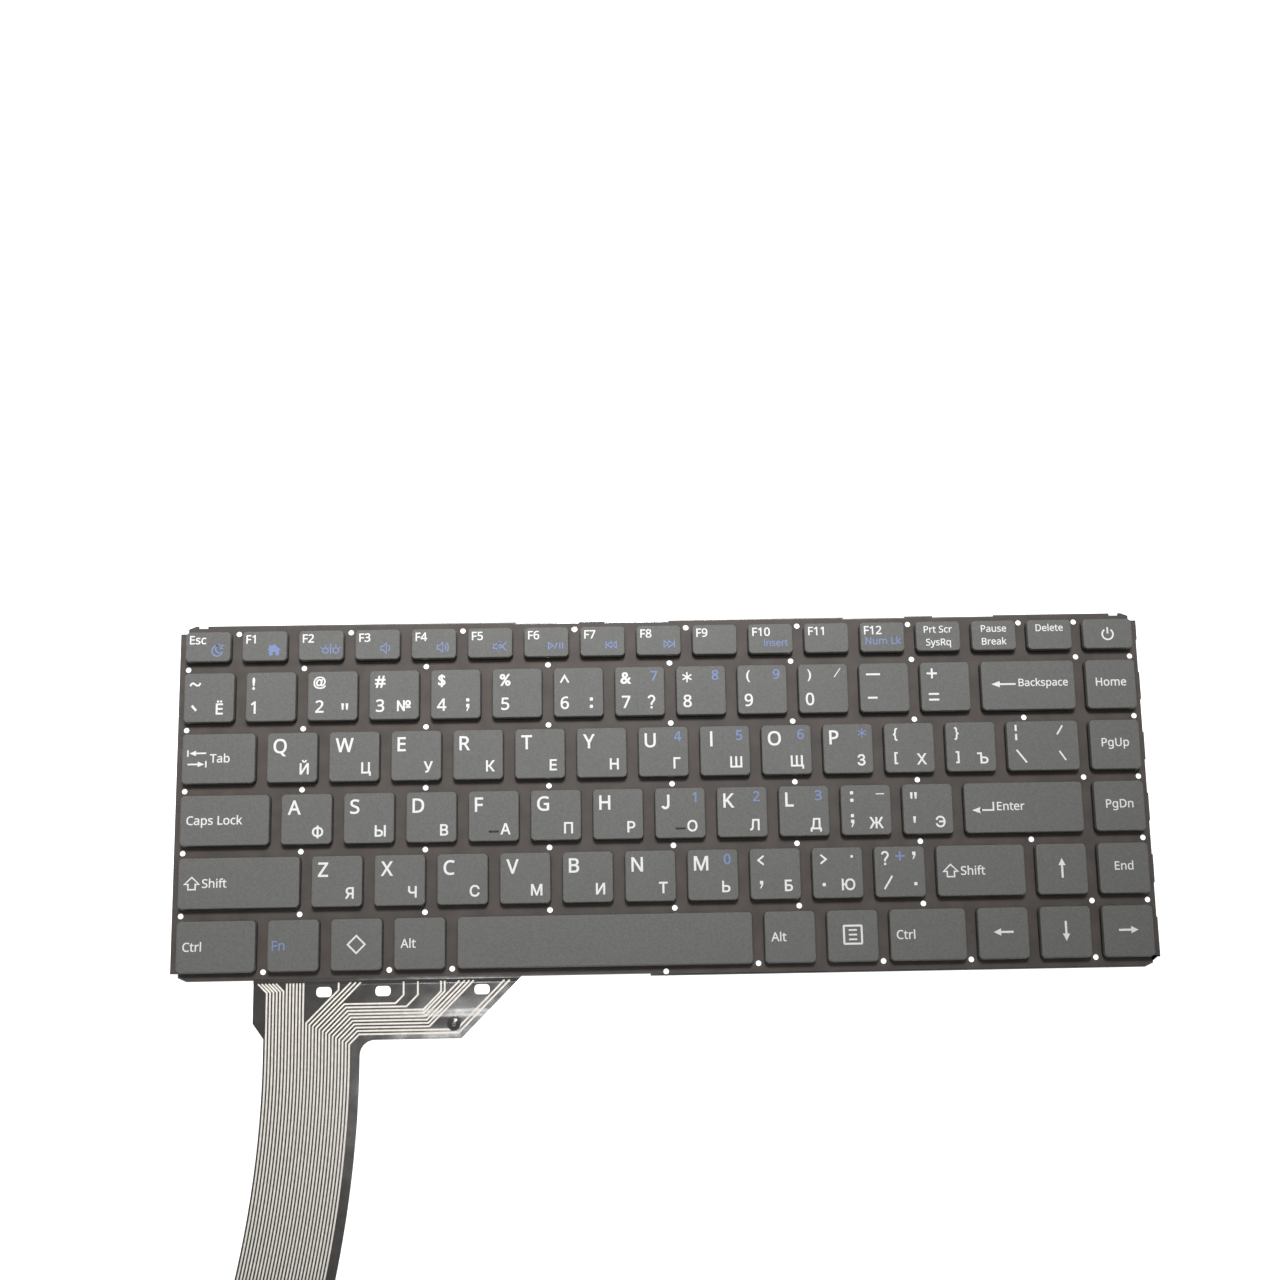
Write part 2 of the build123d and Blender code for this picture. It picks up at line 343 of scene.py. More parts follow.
def rounded_rectangle(centre, width, depth, radius, steps):
    """Points of a rounded rectangle, counter-clockwise from its back right corner."""
    points = []
    for quarter, (right, back) in enumerate(((1, 1), (-1, 1), (-1, -1), (1, -1))):
        middle = (centre[0] + right * (width / 2 - radius), centre[1] + back * (depth / 2 - radius))
        points += arc(middle, radius, 90 * quarter, 90 * quarter + 90, steps)
    return points


def skin(mesh, loops, material=0, ring=False):
    """A closed surface through a stack of loops with equal point counts, or round a ring of them."""
    rings = [[mesh.verts.new(point) for point in loop] for loop in loops]
    faces = [] if ring else [mesh.faces.new(rings[0][::-1]), mesh.faces.new(rings[-1])]
    for lower, upper in zip(rings, rings[1:] + (rings[:1] if ring else [])):
        for here in range(len(lower)):
            after = (here + 1) % len(lower)
            faces.append(mesh.faces.new((lower[here], lower[after], upper[after], upper[here])))
    for face in faces:
        face.material_index = material


def at_height(points, height):
    return [(x, y, height) for x, y in points]


def prism(mesh, outline, bottom, top, material=0):
    """A flat-ended solid over an outline."""
    skin(mesh, [at_height(outline, bottom), at_height(outline, top)], material)


def beside(points, reach, closed):
    """The points of a line moved to its left by a reach, mitred at its corners."""
    points = [Vector(point) for point in points]
    count = len(points)
    moved_points = []
    for number, point in enumerate(points):
        before = (point - points[number - 1]).normalized() if closed or number else None
        after = (points[(number + 1) % count] - point).normalized() if closed or number + 1 < count else None
        way = ((before or after) + (after or before)).normalized()
        stretch = max(way.dot(after or before), mitre_limit)
        moved_points.append(point + Vector((-way.y, way.x)) * reach / stretch)
    return moved_points


def ribbon(mesh, path, width, bottom, top, material=0, closed=False, height=None):
    """A flat line of a width along a path, on a flat ground or on one with a height."""
    rings = []
    for left, right in zip(beside(path, width / 2, closed), beside(path, -width / 2, closed)):
        corners = [(right, bottom), (left, bottom), (left, top), (right, top)]
        ground = [height(place.y) if height else 0 for place, level in corners]
        rings.append([(place.x, place.y, level + rise) for (place, level), rise in zip(corners, ground)])
    skin(mesh, rings, material, closed)


def thicken(mesh, bottom, top):
    """Turns a flat sheet into a closed slab between two heights."""
    for vert in mesh.verts:
        vert.co.z = bottom
    made = bmesh.ops.extrude_face_region(mesh, geom=mesh.faces[:])
    for item in made["geom"]:
        if isinstance(item, bmesh.types.BMVert):
            item.co.z = top
    bmesh.ops.recalc_face_normals(mesh, faces=mesh.faces[:])


def evaluated_mesh(data):
    """The mesh that a curve or text makes."""
    holder = bpy.data.objects.new("holder", data)
    bpy.context.scene.collection.objects.link(holder)
    bpy.context.view_layer.update()
    made = bpy.data.meshes.new_from_object(holder.evaluated_get(bpy.context.evaluated_depsgraph_get()))
    bpy.data.objects.remove(holder)
    return made


def sheet(outline, holes):
    """A flat sheet with holes, filled between its outlines."""
    curve = bpy.data.curves.new("sheet", "CURVE")
    curve.dimensions = "2D"
    curve.fill_mode = "BOTH"
    for points in [outline] + holes:
        spline = curve.splines.new("POLY")
        spline.points.add(len(points) - 1)
        for point, (x, y) in zip(spline.points, points):
            point.co = (x, y, 0, 1)
        spline.use_cyclic_u = True
    mesh = bmesh.new()
    mesh.from_mesh(evaluated_mesh(curve))
    bmesh.ops.remove_doubles(mesh, verts=mesh.verts[:], dist=weld)
    return mesh


def finish_piece(name, mesh, materials, body, nodes=(), sharp=35.0):
    """Makes a piece from a mesh in millimetres, and lets it ride on a body."""
    data = bpy.data.meshes.new(name)
    mesh.to_mesh(data)
    mesh.free()
    data.transform(Matrix.Scale(millimetre, 4))
    data.polygons.foreach_set("use_smooth", [True] * len(data.polygons))
    data.set_sharp_from_angle(angle=radians(sharp))
    for made in materials:
        data.materials.append(made)
    piece = bpy.data.objects.new(name, data)
    bpy.context.scene.collection.objects.link(piece)
    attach(piece, body)
    if nodes:
        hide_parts(*nodes)
    return piece


# Materials

def noise(tree, size, detail, stretch=1.0):
    """Noise with features of a size in millimetres, in the part's frame, stretched along X."""
    place = tree.nodes.new("ShaderNodeTexCoord")
    scaled = tree.nodes.new("ShaderNodeMapping")
    scaled.inputs["Scale"].default_value = (stretch, 1, 1)
    texture = tree.nodes.new("ShaderNodeTexNoise")
    texture.inputs["Scale"].default_value = 1 / (size * millimetre)
    texture.inputs["Detail"].default_value = detail
    tree.links.new(place.outputs["Object"], scaled.inputs["Vector"])
    tree.links.new(scaled.outputs["Vector"], texture.inputs["Vector"])
    return texture.outputs["Fac"]


def level_between(tree, source, low, high):
    """A value from nought to one, made to go from low to high."""
    node = tree.nodes.new("ShaderNodeMapRange")
    node.inputs["To Min"].default_value = low
    node.inputs["To Max"].default_value = high
    tree.links.new(source, node.inputs["Value"])
    return node.outputs["Result"]


def surface(name, colour, roughness, specular=0.5, coat=0.0, metallic=0.0,
            speckle=None, gloss=None, relief=None):
    """A finish that varies with noise, with sizes and heights in millimetres.

    speckle is a size, a detail, and the darkest and lightest share of the colour; gloss is a size, a stretch
    along X, and the lowest and highest roughness; relief is a size, a detail and a height.
    """
    made = bpy.data.materials.new(name)
    made.use_nodes = True
    tree = made.node_tree
    shader = tree.nodes["Principled BSDF"]
    shader.inputs["Base Color"].default_value = (*colour, 1)
    shader.inputs["Roughness"].default_value = roughness
    shader.inputs["Specular IOR Level"].default_value = specular
    shader.inputs["Coat Weight"].default_value = coat
    shader.inputs["Metallic"].default_value = metallic
    if speckle:
        size, detail, darkest, lightest = speckle
        ramp = tree.nodes.new("ShaderNodeValToRGB")
        for stop, place, factor in zip(ramp.color_ramp.elements, (0.35, 0.65), (darkest, lightest)):
            stop.position = place
            stop.color = (*(channel * factor for channel in colour), 1)
        tree.links.new(noise(tree, size, detail), ramp.inputs["Fac"])
        tree.links.new(ramp.outputs["Color"], shader.inputs["Base Color"])
    if gloss:
        size, stretch, low, high = gloss
        level = level_between(tree, noise(tree, size, 3.0, stretch), low, high)
        tree.links.new(level, shader.inputs["Roughness"])
    if relief:
        size, detail, height = relief
        bump = tree.nodes.new("ShaderNodeBump")
        bump.inputs["Strength"].default_value = 1.0
        bump.inputs["Distance"].default_value = height * millimetre
        tree.links.new(noise(tree, size, detail), bump.inputs["Height"])
        tree.links.new(bump.outputs["Normal"], shader.inputs["Normal"])
    return made


def seen_level(tree, unseen, seen):
    """One level for the light on the object, and another for rays from the camera, mirrors and glass."""
    path = tree.nodes.new("ShaderNodeLightPath")
    total = path.outputs["Is Camera Ray"]
    for name in ("Is Glossy Ray", "Is Transmission Ray"):
        plus = tree.nodes.new("ShaderNodeMath")
        plus.operation = "ADD"
        plus.use_clamp = True
        tree.links.new(total, plus.inputs[0])
        tree.links.new(path.outputs[name], plus.inputs[1])
        total = plus.outputs["Value"]
    return level_between(tree, total, unseen, seen)


def make_floor_paper():
    """Pale paper that shows white and keeps its shadows."""
    made = surface("floor_paper", (0.9, 0.9, 0.9), 0.9, specular=0.1, speckle=(60.0, 3.0, 0.99, 1.01))
    shader = made.node_tree.nodes["Principled BSDF"]
    shader.inputs["Emission Color"].default_value = (1, 1, 1, 1)
    made.node_tree.links.new(seen_level(made.node_tree, 0.0, floor_glow), shader.inputs["Emission Strength"])
    return made


# Dark grey moulded plastic with a fine matt texture
cap_plastic = surface(
    "cap_plastic", (0.135, 0.135, 0.129), 0.55, specular=0.18,
    speckle=(0.5, 2.0, 0.9, 1.1), gloss=(9.0, 1.0, 0.5, 0.62), relief=(0.22, 2.0, 0.012))

# Near-black smooth plastic for the homing bars, its darkness a painted shade that stands in for the shadow
# along each bar
homing_bar_painted_shade = surface("homing_bar_painted_shade", (0.03, 0.03, 0.029), 0.4, specular=0.18, speckle=(0.5, 2.0, 0.9, 1.1))

# Brown-black printed film between the keys, and the film under it, whose near-black is partly its own darker
# tone and partly painted shade for the shade beside the caps' walls
cover_film_material = surface(
    "cover_film", (0.08, 0.069, 0.062), 0.5, specular=0.12,
    speckle=(6.0, 5.0, 0.85, 1.12), gloss=(3.0, 1.0, 0.44, 0.58), relief=(1.6, 3.0, 0.03))
lower_film_shaded_material = surface(
    "lower_film", (0.03, 0.027, 0.025), 0.6, specular=0.1,
    speckle=(4.0, 3.0, 0.8, 1.2), relief=(2.0, 3.0, 0.02))

# Glossy, slightly wavy black film
tail_film_material = surface(
    "tail_film", (0.03, 0.026, 0.024), 0.14, specular=0.4,
    speckle=(8.0, 4.0, 0.8, 1.3), gloss=(3.0, 1.0, 0.1, 0.24), relief=(9.0, 1.0, 0.12))

# Glossy blue-black film with fine scratches, over the steel sheet
plate_coating = surface(
    "plate_coating", (0.02, 0.024, 0.032), 0.22, coat=0.3,
    speckle=(12.0, 6.0, 0.7, 1.6), gloss=(2.0, 0.05, 0.15, 0.38), relief=(5.0, 3.0, 0.05))

# Inks on the keys, and silver paste under a clear cover, seen as cream lines
white_ink = surface("white_ink", (0.8, 0.8, 0.79), 0.6, specular=0.3, speckle=(0.4, 3.0, 0.93, 1.04))
blue_ink = surface("blue_ink", (0.18, 0.245, 0.45), 0.6, specular=0.3, speckle=(0.4, 3.0, 0.88, 1.1))
trace_ink = surface("trace_ink", (0.95, 0.9, 0.82), 0.4, speckle=(1.5, 3.0, 0.9, 1.08))

# Tan paper liner and grey-green film on the tail
liner_paper = surface(
    "liner_paper", (0.6, 0.42, 0.25), 0.75, specular=0.3,
    speckle=(1.2, 6.0, 0.88, 1.08), relief=(0.3, 3.0, 0.02))
stiffener_film = surface(
    "stiffener_film", (0.2, 0.27, 0.29), 0.3, speckle=(5.0, 3.0, 0.9, 1.1), relief=(3.0, 3.0, 0.03))

# Plastic, rubber and drawn wire under the keys
lift_plastic = surface("lift_plastic", (0.05, 0.05, 0.052), 0.5, speckle=(1.0, 3.0, 0.9, 1.15))
dome_rubber = surface("dome_rubber", (0.12, 0.12, 0.12), 0.6, speckle=(1.0, 3.0, 0.9, 1.1))
wire_steel = surface("wire_steel", (0.55, 0.55, 0.55), 0.3, metallic=1.0, gloss=(0.5, 0.1, 0.22, 0.4))


# Plate and membrane

def back_cuts():
    """Cuts into the back edge as (place, width, depth): a bite near each end and recesses beside two tabs."""
    ends = plate_width / 2 - back_bite_place
    reach = (back_tab_width + back_recess_width) / 2
    cuts = [(x, back_bite_width, back_bite_depth) for x in (-ends, ends)]
    for place in back_tab_places:
        middle = plate_left + place
        cuts += [(middle + x, back_recess_width, back_recess_depth) for x in (-reach, reach)]
    return cuts


def sheet_outline(inset):
    """The plate's outline with its cut corners, stepped front edge and cut back edge, less an inset."""
    right = plate_width / 2 - inset
    back = plate_depth / 2 - inset
    end = right - corner_notch
    notch = back - corner_notch
    step = plate_left + front_lip_start + inset
    lip = -back - front_lip
    outline = [
        (-end + back_slant_width, back), (-end, back - back_slant_depth), (-end, notch),
        (-right, notch), (-right, -notch), (-end, -notch), (-end, -back + front_slant_depth),
        (-end + front_slant_width, -back), (step, -back), (step, lip), (end - front_slant_width, lip),
        (end, lip + front_slant_depth), (end, -notch), (right, -notch),
    ]
    if inset < side_recess_depth:
        outline += side_recesses()
    outline += [(right, notch), (end, notch), (end, back - back_slant_depth), (end - back_slant_width, back)]
    for middle, wide, deep in sorted(back_cuts(), reverse=True):
        reach = wide / 2 + inset
        outline += [(middle + reach, back), (middle + reach, back - deep)]
        outline += [(middle - reach, back - deep), (middle - reach, back)]
    return outline


def side_recesses():
    """Corners of the shallow recesses between the tabs on the right edge, from front to back."""
    edge = plate_width / 2
    reach = (pitch - side_tab_length) / 2
    corners = []
    for name in ("end", "page_down", "page_up", "home", "power"):
        middle = gap_before(name)
        corners += [(edge, middle - reach), (edge - side_recess_depth, middle - reach)]
        corners += [(edge - side_recess_depth, middle + reach), (edge, middle + reach)]
    return corners


def key_dimples():
    """Two dimples under each end of every key, where its lift's hooks are stamped up from the plate."""
    places = []
    for x, y, width, depth in keys.values():
        reach = min(lift_length, depth) / 2 - lift_arm
        places += [(x + side * lift_width / 4, y + end * reach) for side in (-1, 1) for end in (-1, 1)]
    return places


def make_plate():
    """The steel sheet, and the coating under it with rings, bosses, latches and dimples pressed into it."""
    holes = [circle(place, rivet_hole_radius, hole_steps) for place in rivet_holes()]
    metal = sheet(sheet_outline(0), holes)
    thicken(metal, coating, plate_thickness)
    finish_piece("base_plate_sheet", metal, [plate_coating], "base", ["base_plate"])
    marks = [circle(place, hole_ring_radius, hole_steps) for place in rivet_holes()]
    for place in boss_places:
        marks.append(circle(place, boss_radius, boss_steps))
        marks.append(circle(place, boss_middle_radius, boss_middle_steps))
    for x, y in latch_places:
        for way in (-latch_reach, latch_reach):
            marks.append(rounded_rectangle((x, y + way), *latch_size, latch_corner, 3))
    marks += [circle(place, dimple_radius, dimple_steps) for place in key_dimples()]
    skin_sheet = sheet(sheet_outline(0), marks)
    thicken(skin_sheet, 0, coating)
    finish_piece("base_plate_coating", skin_sheet, [plate_coating], "base", ["base_plate"])


def make_films():
    """The lower film, and the cover film with a window under each key."""
    radius = rivet_hole_radius + membrane_hole_clearance
    holes = [circle(place, radius, hole_steps) for place in rivet_holes()]
    middle = membrane_top - cover_film
    lower = sheet(sheet_outline(membrane_inset), holes)
    thicken(lower, plate_thickness, middle)
    # The lower film's near-black is partly painted shade, for the shade beside the caps' walls
    finish_piece("membrane_lower_film", lower, [lower_film_shaded_material], "base", ["membrane"])
    windows = []
    for x, y, width, depth in keys.values():
        open_width = width + 2 * window_margin
        open_depth = depth + 2 * window_margin
        windows.append(rounded_rectangle((x, y), open_width, open_depth, window_corner, 4))
    cover = sheet(sheet_outline(membrane_inset), holes + windows)
    thicken(cover, middle, membrane_top)
    finish_piece("membrane_cover_film", cover, [cover_film_material], "base", ["membrane"])


# Tail

def tail_place(along, out):
    """A place on the tail, from the plate's left end and out from its front edge."""
    return (plate_left + along, plate_front - out)


root_right = tail_root_start + tail_root_width
strip_left = tail_root_start + tail_shoulder_inset
strip_right = strip_left + tail_strip_width
strip_start = tail_flare_depth + tail_fillet
strip_turn = degrees(asin((tail_length - strip_start) / tail_curve_radius))
strip_centre = tail_place(strip_left - tail_curve_radius, strip_start)


def strip_arc(along, steps=30):
    """A line down the strip that starts at a place along its top, and curves to the left with it."""
    return arc(strip_centre, tail_curve_radius + along - strip_left, 0, -strip_turn, steps)


def tail_outline():
    corner = tail_place(strip_right + tail_fillet, tail_flare_depth + tail_fillet)
    left_edge = [
        tail_place(tail_root_start, -2 * membrane_inset),
        tail_place(tail_root_start, tail_shoulder_depth),
        tail_place(strip_left, tail_shoulder_depth + tail_shoulder_slope * tail_shoulder_inset),
    ]
    right_edge = [
        tail_place(root_right - tail_flare_depth, tail_flare_depth),
        tail_place(root_right, 0),
        tail_place(root_right, -2 * membrane_inset),
    ]
    inside_corner = arc(corner, tail_fillet, 180, 90, 8)
    return left_edge + strip_arc(strip_left) + strip_arc(strip_right)[::-1] + inside_corner[1:] + right_edge


def drop_reach(fall, radius):
    """Half the length over which two equal arcs come down by a fall."""
    return radius * sin(acos(1 - fall / 2 / radius))


def drop(start, fall, radius, out):
    """How far the film has come down at a place out from the plate's edge, over two equal arcs."""
    reach = drop_reach(fall, radius)
    far = min(max(out - start, 0), 2 * reach)
    if far < reach:
        return radius - (radius ** 2 - far ** 2) ** 0.5
    return fall - radius + (radius ** 2 - (2 * reach - far) ** 2) ** 0.5


def tail_height(y):
    """The height of the tail film's underside."""
    out = plate_front - y
    first = drop(membrane_inset / 2, plate_thickness - adhesive_thickness, tail_bend_radius, out)
    return plate_thickness - first - drop(adhesive_end, adhesive_thickness, tail_ease_radius, out)


def lay_on_tail(mesh, bottom, top):
    """Cuts a flat sheet where the tail bends, thickens it and lays it along the tail."""
    bends = [membrane_inset / 2 + step * tail_bend_step for step in range(tail_bend_cuts)]
    bends += [adhesive_end + step * tail_ease_step for step in range(tail_ease_cuts)]
    for out in bends:
        everything = mesh.verts[:] + mesh.edges[:] + mesh.faces[:]
        bmesh.ops.bisect_plane(mesh, geom=everything, plane_co=(0, plate_front - out, 0), plane_no=(0, 1, 0))
    thicken(mesh, bottom, top)
    for vert in mesh.verts:
        vert.co.z += tail_height(vert.co.y)


def tail_slots():
    places = [tail_root_start + along for along in tail_left_slots] + [root_right - tail_right_slot]
    size = (tail_slot_length, tail_slot_width, tail_slot_corner)
    return [rounded_rectangle(tail_place(along, tail_slot_depth), *size, 4) for along in places]


def dimple_place():
    return tail_place(root_right - tail_dimple_inset, tail_dimple_out)


def dimple_height(x, y):
    """The relief of a small round dimple pressed up in the tail, with a pit in its middle."""
    middle = dimple_place()
    share = hypot(x - middle[0], y - middle[1]) / tail_dimple_radius
    if share >= 1:
        return 0
    return tail_dimple_height * (0.5 + 0.5 * cos(pi * share)) * (1 - 0.5 * max(0, 1 - 4 * share))


def make_tail():
    """The tail's film, with rings of points round its dimple."""
    shares = [step / tail_dimple_rings for step in range(tail_dimple_rings, 0, -1)]
    rings = [circle(dimple_place(), tail_dimple_radius * share, hole_steps) for share in shares]
    film = sheet(tail_outline(), tail_slots() + rings[:1])
    verts = [[film.verts.new((x, y, 0)) for x, y in ring] for ring in rings]
    for outer, inner in zip(verts, verts[1:]):
        for here in range(hole_steps):
            after = (here + 1) % hole_steps
            film.faces.new((outer[here], outer[after], inner[after], inner[here]))
    film.faces.new(verts[-1])
    bmesh.ops.remove_doubles(film, verts=film.verts[:], dist=weld)
    lay_on_tail(film, 0, tail_film_thickness)
    for vert in film.verts:
        vert.co.z += dimple_height(vert.co.x, vert.co.y)
    finish_piece("tail_film_sheet", film, [tail_film_material], "base", ["membrane"])


def make_contacts():
    """Bare contacts on the underside of the tail's tip, one for each printed line."""
    mesh = bmesh.new()
    start = -strip_turn + degrees((contact_inset + contact_length) / tail_curve_radius)
    end = -strip_turn + degrees(contact_inset / tail_curve_radius)
    for path in trace_paths():
        radius = tail_curve_radius + path[-1][0] - strip_left
        ribbon(mesh, arc(strip_centre, radius, start, end, 4), contact_width, -trace_height, trace_height)
    bmesh.ops.recalc_face_normals(mesh, faces=mesh.faces[:])
    finish_piece("tail_contacts", mesh, [trace_ink], "base", ["membrane"])


def far_head(number, level):
    """The root end of a line that runs along the flare, down to its level run."""
    if number < len(trace_straight_heads):
        along, bend = trace_straight_heads[number]
        return [(along, trace_start), (along, bend), (along - level + bend, level)]
    along = trace_slanted_heads[number - len(trace_straight_heads)]
    return [(along, trace_start), (along - level + trace_start, level)]


def trace_paths():
    """Each printed line from the tail's root down to the strip, as places along and out."""
    paths = []
    for number in range(trace_lines):
        along = trace_left + trace_pitch * number
        turn = number - trace_bent_lines - trace_straight_lines
        knee = trace_turn + trace_turn_step * turn
        rise = along + knee
        level = trace_level + trace_pitch * (turn - trace_short_lines)
        if number < trace_bent_lines:
            knee = trace_knee - trace_knee_step * number
            head = [(along - knee + trace_start, trace_start), (along, knee)]
        elif turn < 0:
            head = [(along, trace_start)]
        elif turn < trace_short_lines:
            top = trace_raised_turn if turn == 0 else trace_start
            head = [(rise - top, trace_start), (rise - top, top), (along, knee)]
        else:
            head = far_head(turn - trace_short_lines, level) + [(rise - level, level), (along, knee)]
        paths.append(head + [(along, strip_start)])
    return paths


def divided(path, longest):
    """A path with points added so that no stretch is longer than a length."""
    rounding_up = 0.999
    points = [Vector(path[0])]
    for place in path[1:]:
        start = points[-1]
        stretch = Vector(place) - start
        count = max(1, int(stretch.length / longest + rounding_up))
        points += [start + stretch * (step + 1) / count for step in range(count)]
    return points


def make_traces():
    mesh = bmesh.new()
    for path in trace_paths():
        route = [tail_place(*place) for place in path[:-1]]
        route = divided(route + [tail_place(*path[-1])], trace_step)[:-1]
        route += strip_arc(path[-1][0])
        bottom = tail_film_thickness
        ribbon(mesh, route, trace_width, bottom, bottom + trace_height, height=tail_height)
    bmesh.ops.recalc_face_normals(mesh, faces=mesh.faces[:])
    finish_piece("tail_traces", mesh, [trace_ink], "base", ["membrane"])


def make_adhesive():
    start = membrane_inset / 2 + 2 * drop_reach(plate_thickness - adhesive_thickness, tail_bend_radius)
    outline = [
        tail_place(tail_root_start, start),
        tail_place(tail_root_start, adhesive_end),
        tail_place(root_right - adhesive_end, adhesive_end),
        tail_place(root_right - start, start),
    ]
    mesh = sheet(outline, tail_slots())
    thicken(mesh, 0, adhesive_thickness)
    finish_piece("tail_adhesive_liner", mesh, [liner_paper], "base", ["tail_adhesive"])


def make_stiffener_tab():
    inner = tail_curve_radius
    outer = tail_curve_radius + tail_strip_width
    share = degrees(stiffener_length / (tail_curve_radius + tail_strip_width / 2))
    start = -strip_turn + share
    outline = arc(strip_centre, inner, start, -strip_turn, 6)
    outline += arc(strip_centre, outer, -strip_turn, start, 6)
    mesh = sheet(outline, [])
    thicken(mesh, tail_film_thickness, tail_film_thickness + stiffener_thickness)
    finish_piece("tail_stiffener_tab", mesh, [stiffener_film], "base", ["tail_stiffener"])


# Key caps

def cap_loops(width, depth):
    """Loops of a cap from its pocket's ceiling, round the rim and up to its top."""
    def loop(inset, height, radius):
        outline = rounded_rectangle((0, 0), width - 2 * inset, depth - 2 * inset, radius, corner_steps)
        return at_height(outline, height)

    flare = cap_height * cap_slope
    wall_top = cap_top - cap_edge
    wall_flare = cap_edge * cap_slope
    pocket_inset = cap_side_wall - flare
    loops = [
        loop(pocket_inset, cap_ceiling, pocket_corner),
        loop(pocket_inset, cap_rim, pocket_corner),
        loop(-flare, cap_rim, cap_corner + flare),
        loop(-wall_flare, wall_top, cap_corner + wall_flare),
    ]
    for step in range(1, edge_steps + 1):
        angle = radians(90 * step / edge_steps)
        inset = cap_edge * (1 - cos(angle)) - wall_flare
        loops.append(loop(inset, wall_top + cap_edge * sin(angle), cap_corner - inset))
    flat_inset = cap_edge + cap_flat_margin
    loops.append(loop(flat_inset, cap_top, cap_corner - flat_inset))
    return loops


def moved(mesh, x, y):
    bmesh.ops.translate(mesh, verts=mesh.verts[:], vec=(x, y, 0))
    return mesh


def body_and_node(name):
    if name in group_of:
        return "base", group_of[name]
    return f"{name}_key", f"key_{name}"


def make_cap(name):
    x, y, width, depth = keys[name]
    mesh = bmesh.new()
    materials = [cap_plastic]
    skin(mesh, cap_loops(width, depth))
    if name in ("f", "j"):
        # The homing bar's near-black is painted shade, standing in for the shadow along the bar
        materials.append(homing_bar_painted_shade)
        long, thick, high = homing_bar
        middle = homing_bar_inset - depth / 2
        share_along, share_across = homing_bar_crown
        base = rounded_rectangle((0, middle), long, thick, homing_bar_end, 4)
        crown = [(share_along * across, middle + share_across * (up - middle)) for across, up in base]
        levels = [(base, -homing_bar_sink), (base, high - homing_bar_edge), (crown, high)]
        skin(mesh, [at_height(outline, cap_top + height) for outline, height in levels], 1)
    body, node = body_and_node(name)
    finish_piece(f"cap_{name}", moved(mesh, x, y), materials, body, [node], sharp=cap_sharp_angle)


# What lifts the keys

def add_dome(mesh, x, y):
    """A rubber dome: a flange, a bell and a flat crown."""
    foot = dome_radius + dome_flange
    profile = [(foot, 0), (foot, dome_flange_height), (dome_radius, dome_foot_height)]
    profile += [(share * dome_radius, rise * lift_room) for share, rise in dome_bell]
    rings = [(circle((x, y), radius, dome_steps), membrane_top + height) for radius, height in profile]
    skin(mesh, [at_height(points, height) for points, height in rings], 1)


def add_leaf(mesh, x, y, width, cap_depth, turned):
    """A U-shaped leaf that leans from the membrane up to the cap, its bar at the cap's end."""
    pocket_depth = cap_depth + 2 * cap_height * cap_slope - 2 * cap_side_wall
    length = min(lift_length, pocket_depth - 2 * lift_play)
    reach = hypot(length / 2, lift_thickness / 2)
    tilt = asin((lift_room / 2 - seat_clearance) / reach) - atan2(lift_thickness, length)
    right = width / 2
    far = length / 2
    inner = right - lift_arm
    outline = [
        (-right, -far), (-inner, -far), (-inner, far - lift_arm), (inner, far - lift_arm),
        (inner, -far), (right, -far), (right, far), (-right, far),
    ]
    leaf = bmesh.new()
    prism(leaf, outline, -lift_thickness / 2, lift_thickness / 2)
    bmesh.ops.bevel(leaf, geom=leaf.edges[:], offset=lift_edge, segments=2, affect="EDGES")
    place = Matrix.Translation((x, y, membrane_top + lift_room / 2))
    pose = place @ Matrix.Rotation(pi if turned else 0, 4, "Z") @ Matrix.Rotation(tilt, 4, "X")
    bmesh.ops.transform(leaf, verts=leaf.verts[:], matrix=pose)
    join(mesh, leaf, 0)


def join(mesh, other, material_index):
    """Adds another mesh to a mesh, with one material."""
    for face in other.faces:
        face.material_index = material_index
    data = bpy.data.meshes.new("joined")
    other.to_mesh(data)
    other.free()
    mesh.from_mesh(data)
    bpy.data.meshes.remove(data)


def add_stabilizer(mesh, x, y, width):
    """A bent wire with its long run under the back of a wide cap and its ends on the membrane."""
    span = width - 2 * cap_side_wall - 2 * stabilizer_end_gap - stabilizer_wire
    radius = stabilizer_wire / 2
    high = cap_ceiling - seat_clearance - radius
    low = membrane_top + seat_clearance + radius
    back = cap_size / 2 - cap_side_wall - seat_clearance - radius
    front = back - (stabilizer_depth ** 2 - (high - low) ** 2) ** 0.5 + stabilizer_wire
    curve = bpy.data.curves.new("wire", "CURVE")
    curve.dimensions = "3D"
    curve.bevel_depth = radius
    curve.bevel_resolution = 3
    curve.use_fill_caps = True
    spline = curve.splines.new("POLY")
    half = span / 2
    points = [(-half, front, low), (-half, back, high), (half, back, high), (half, front, low)]
    spline.points.add(len(points) - 1)
    for point, place in zip(spline.points, points):
        point.co = (*place, 1)
    wire = bmesh.new()
    wire.from_mesh(evaluated_mesh(curve))
    bmesh.ops.remove_doubles(wire, verts=wire.verts[:], dist=weld)
    join(mesh, moved(wire, x, y), 2)


def add_lift(mesh, name):
    x, y, width, depth = keys[name]
    add_dome(mesh, x, y)
    add_leaf(mesh, x, y, lift_width, depth, False)
    add_leaf(mesh, x, y, lift_width - 2 * lift_arm - 2 * lift_play, depth, True)
    if width > stabilizer_from_width:
        add_stabilizer(mesh, x, y, width)


def make_lifts():
    materials = [lift_plastic, dome_rubber, wire_steel]
    folding = ["rubber_domes", "scissor_outer_leaves", "scissor_inner_leaves"]
    for name, (x, y, width, depth) in keys.items():
        mesh = bmesh.new()
        add_lift(mesh, name)
        if name in group_of:
            finish_piece(f"lift_{name}", mesh, materials, "base", [group_of[name]])
            continue
        nodes = folding + (["stabilizer_wires"] if width > stabilizer_from_width else [])
        piece = finish_piece(f"lift_{name}", mesh, materials, "base", nodes)
        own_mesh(piece)


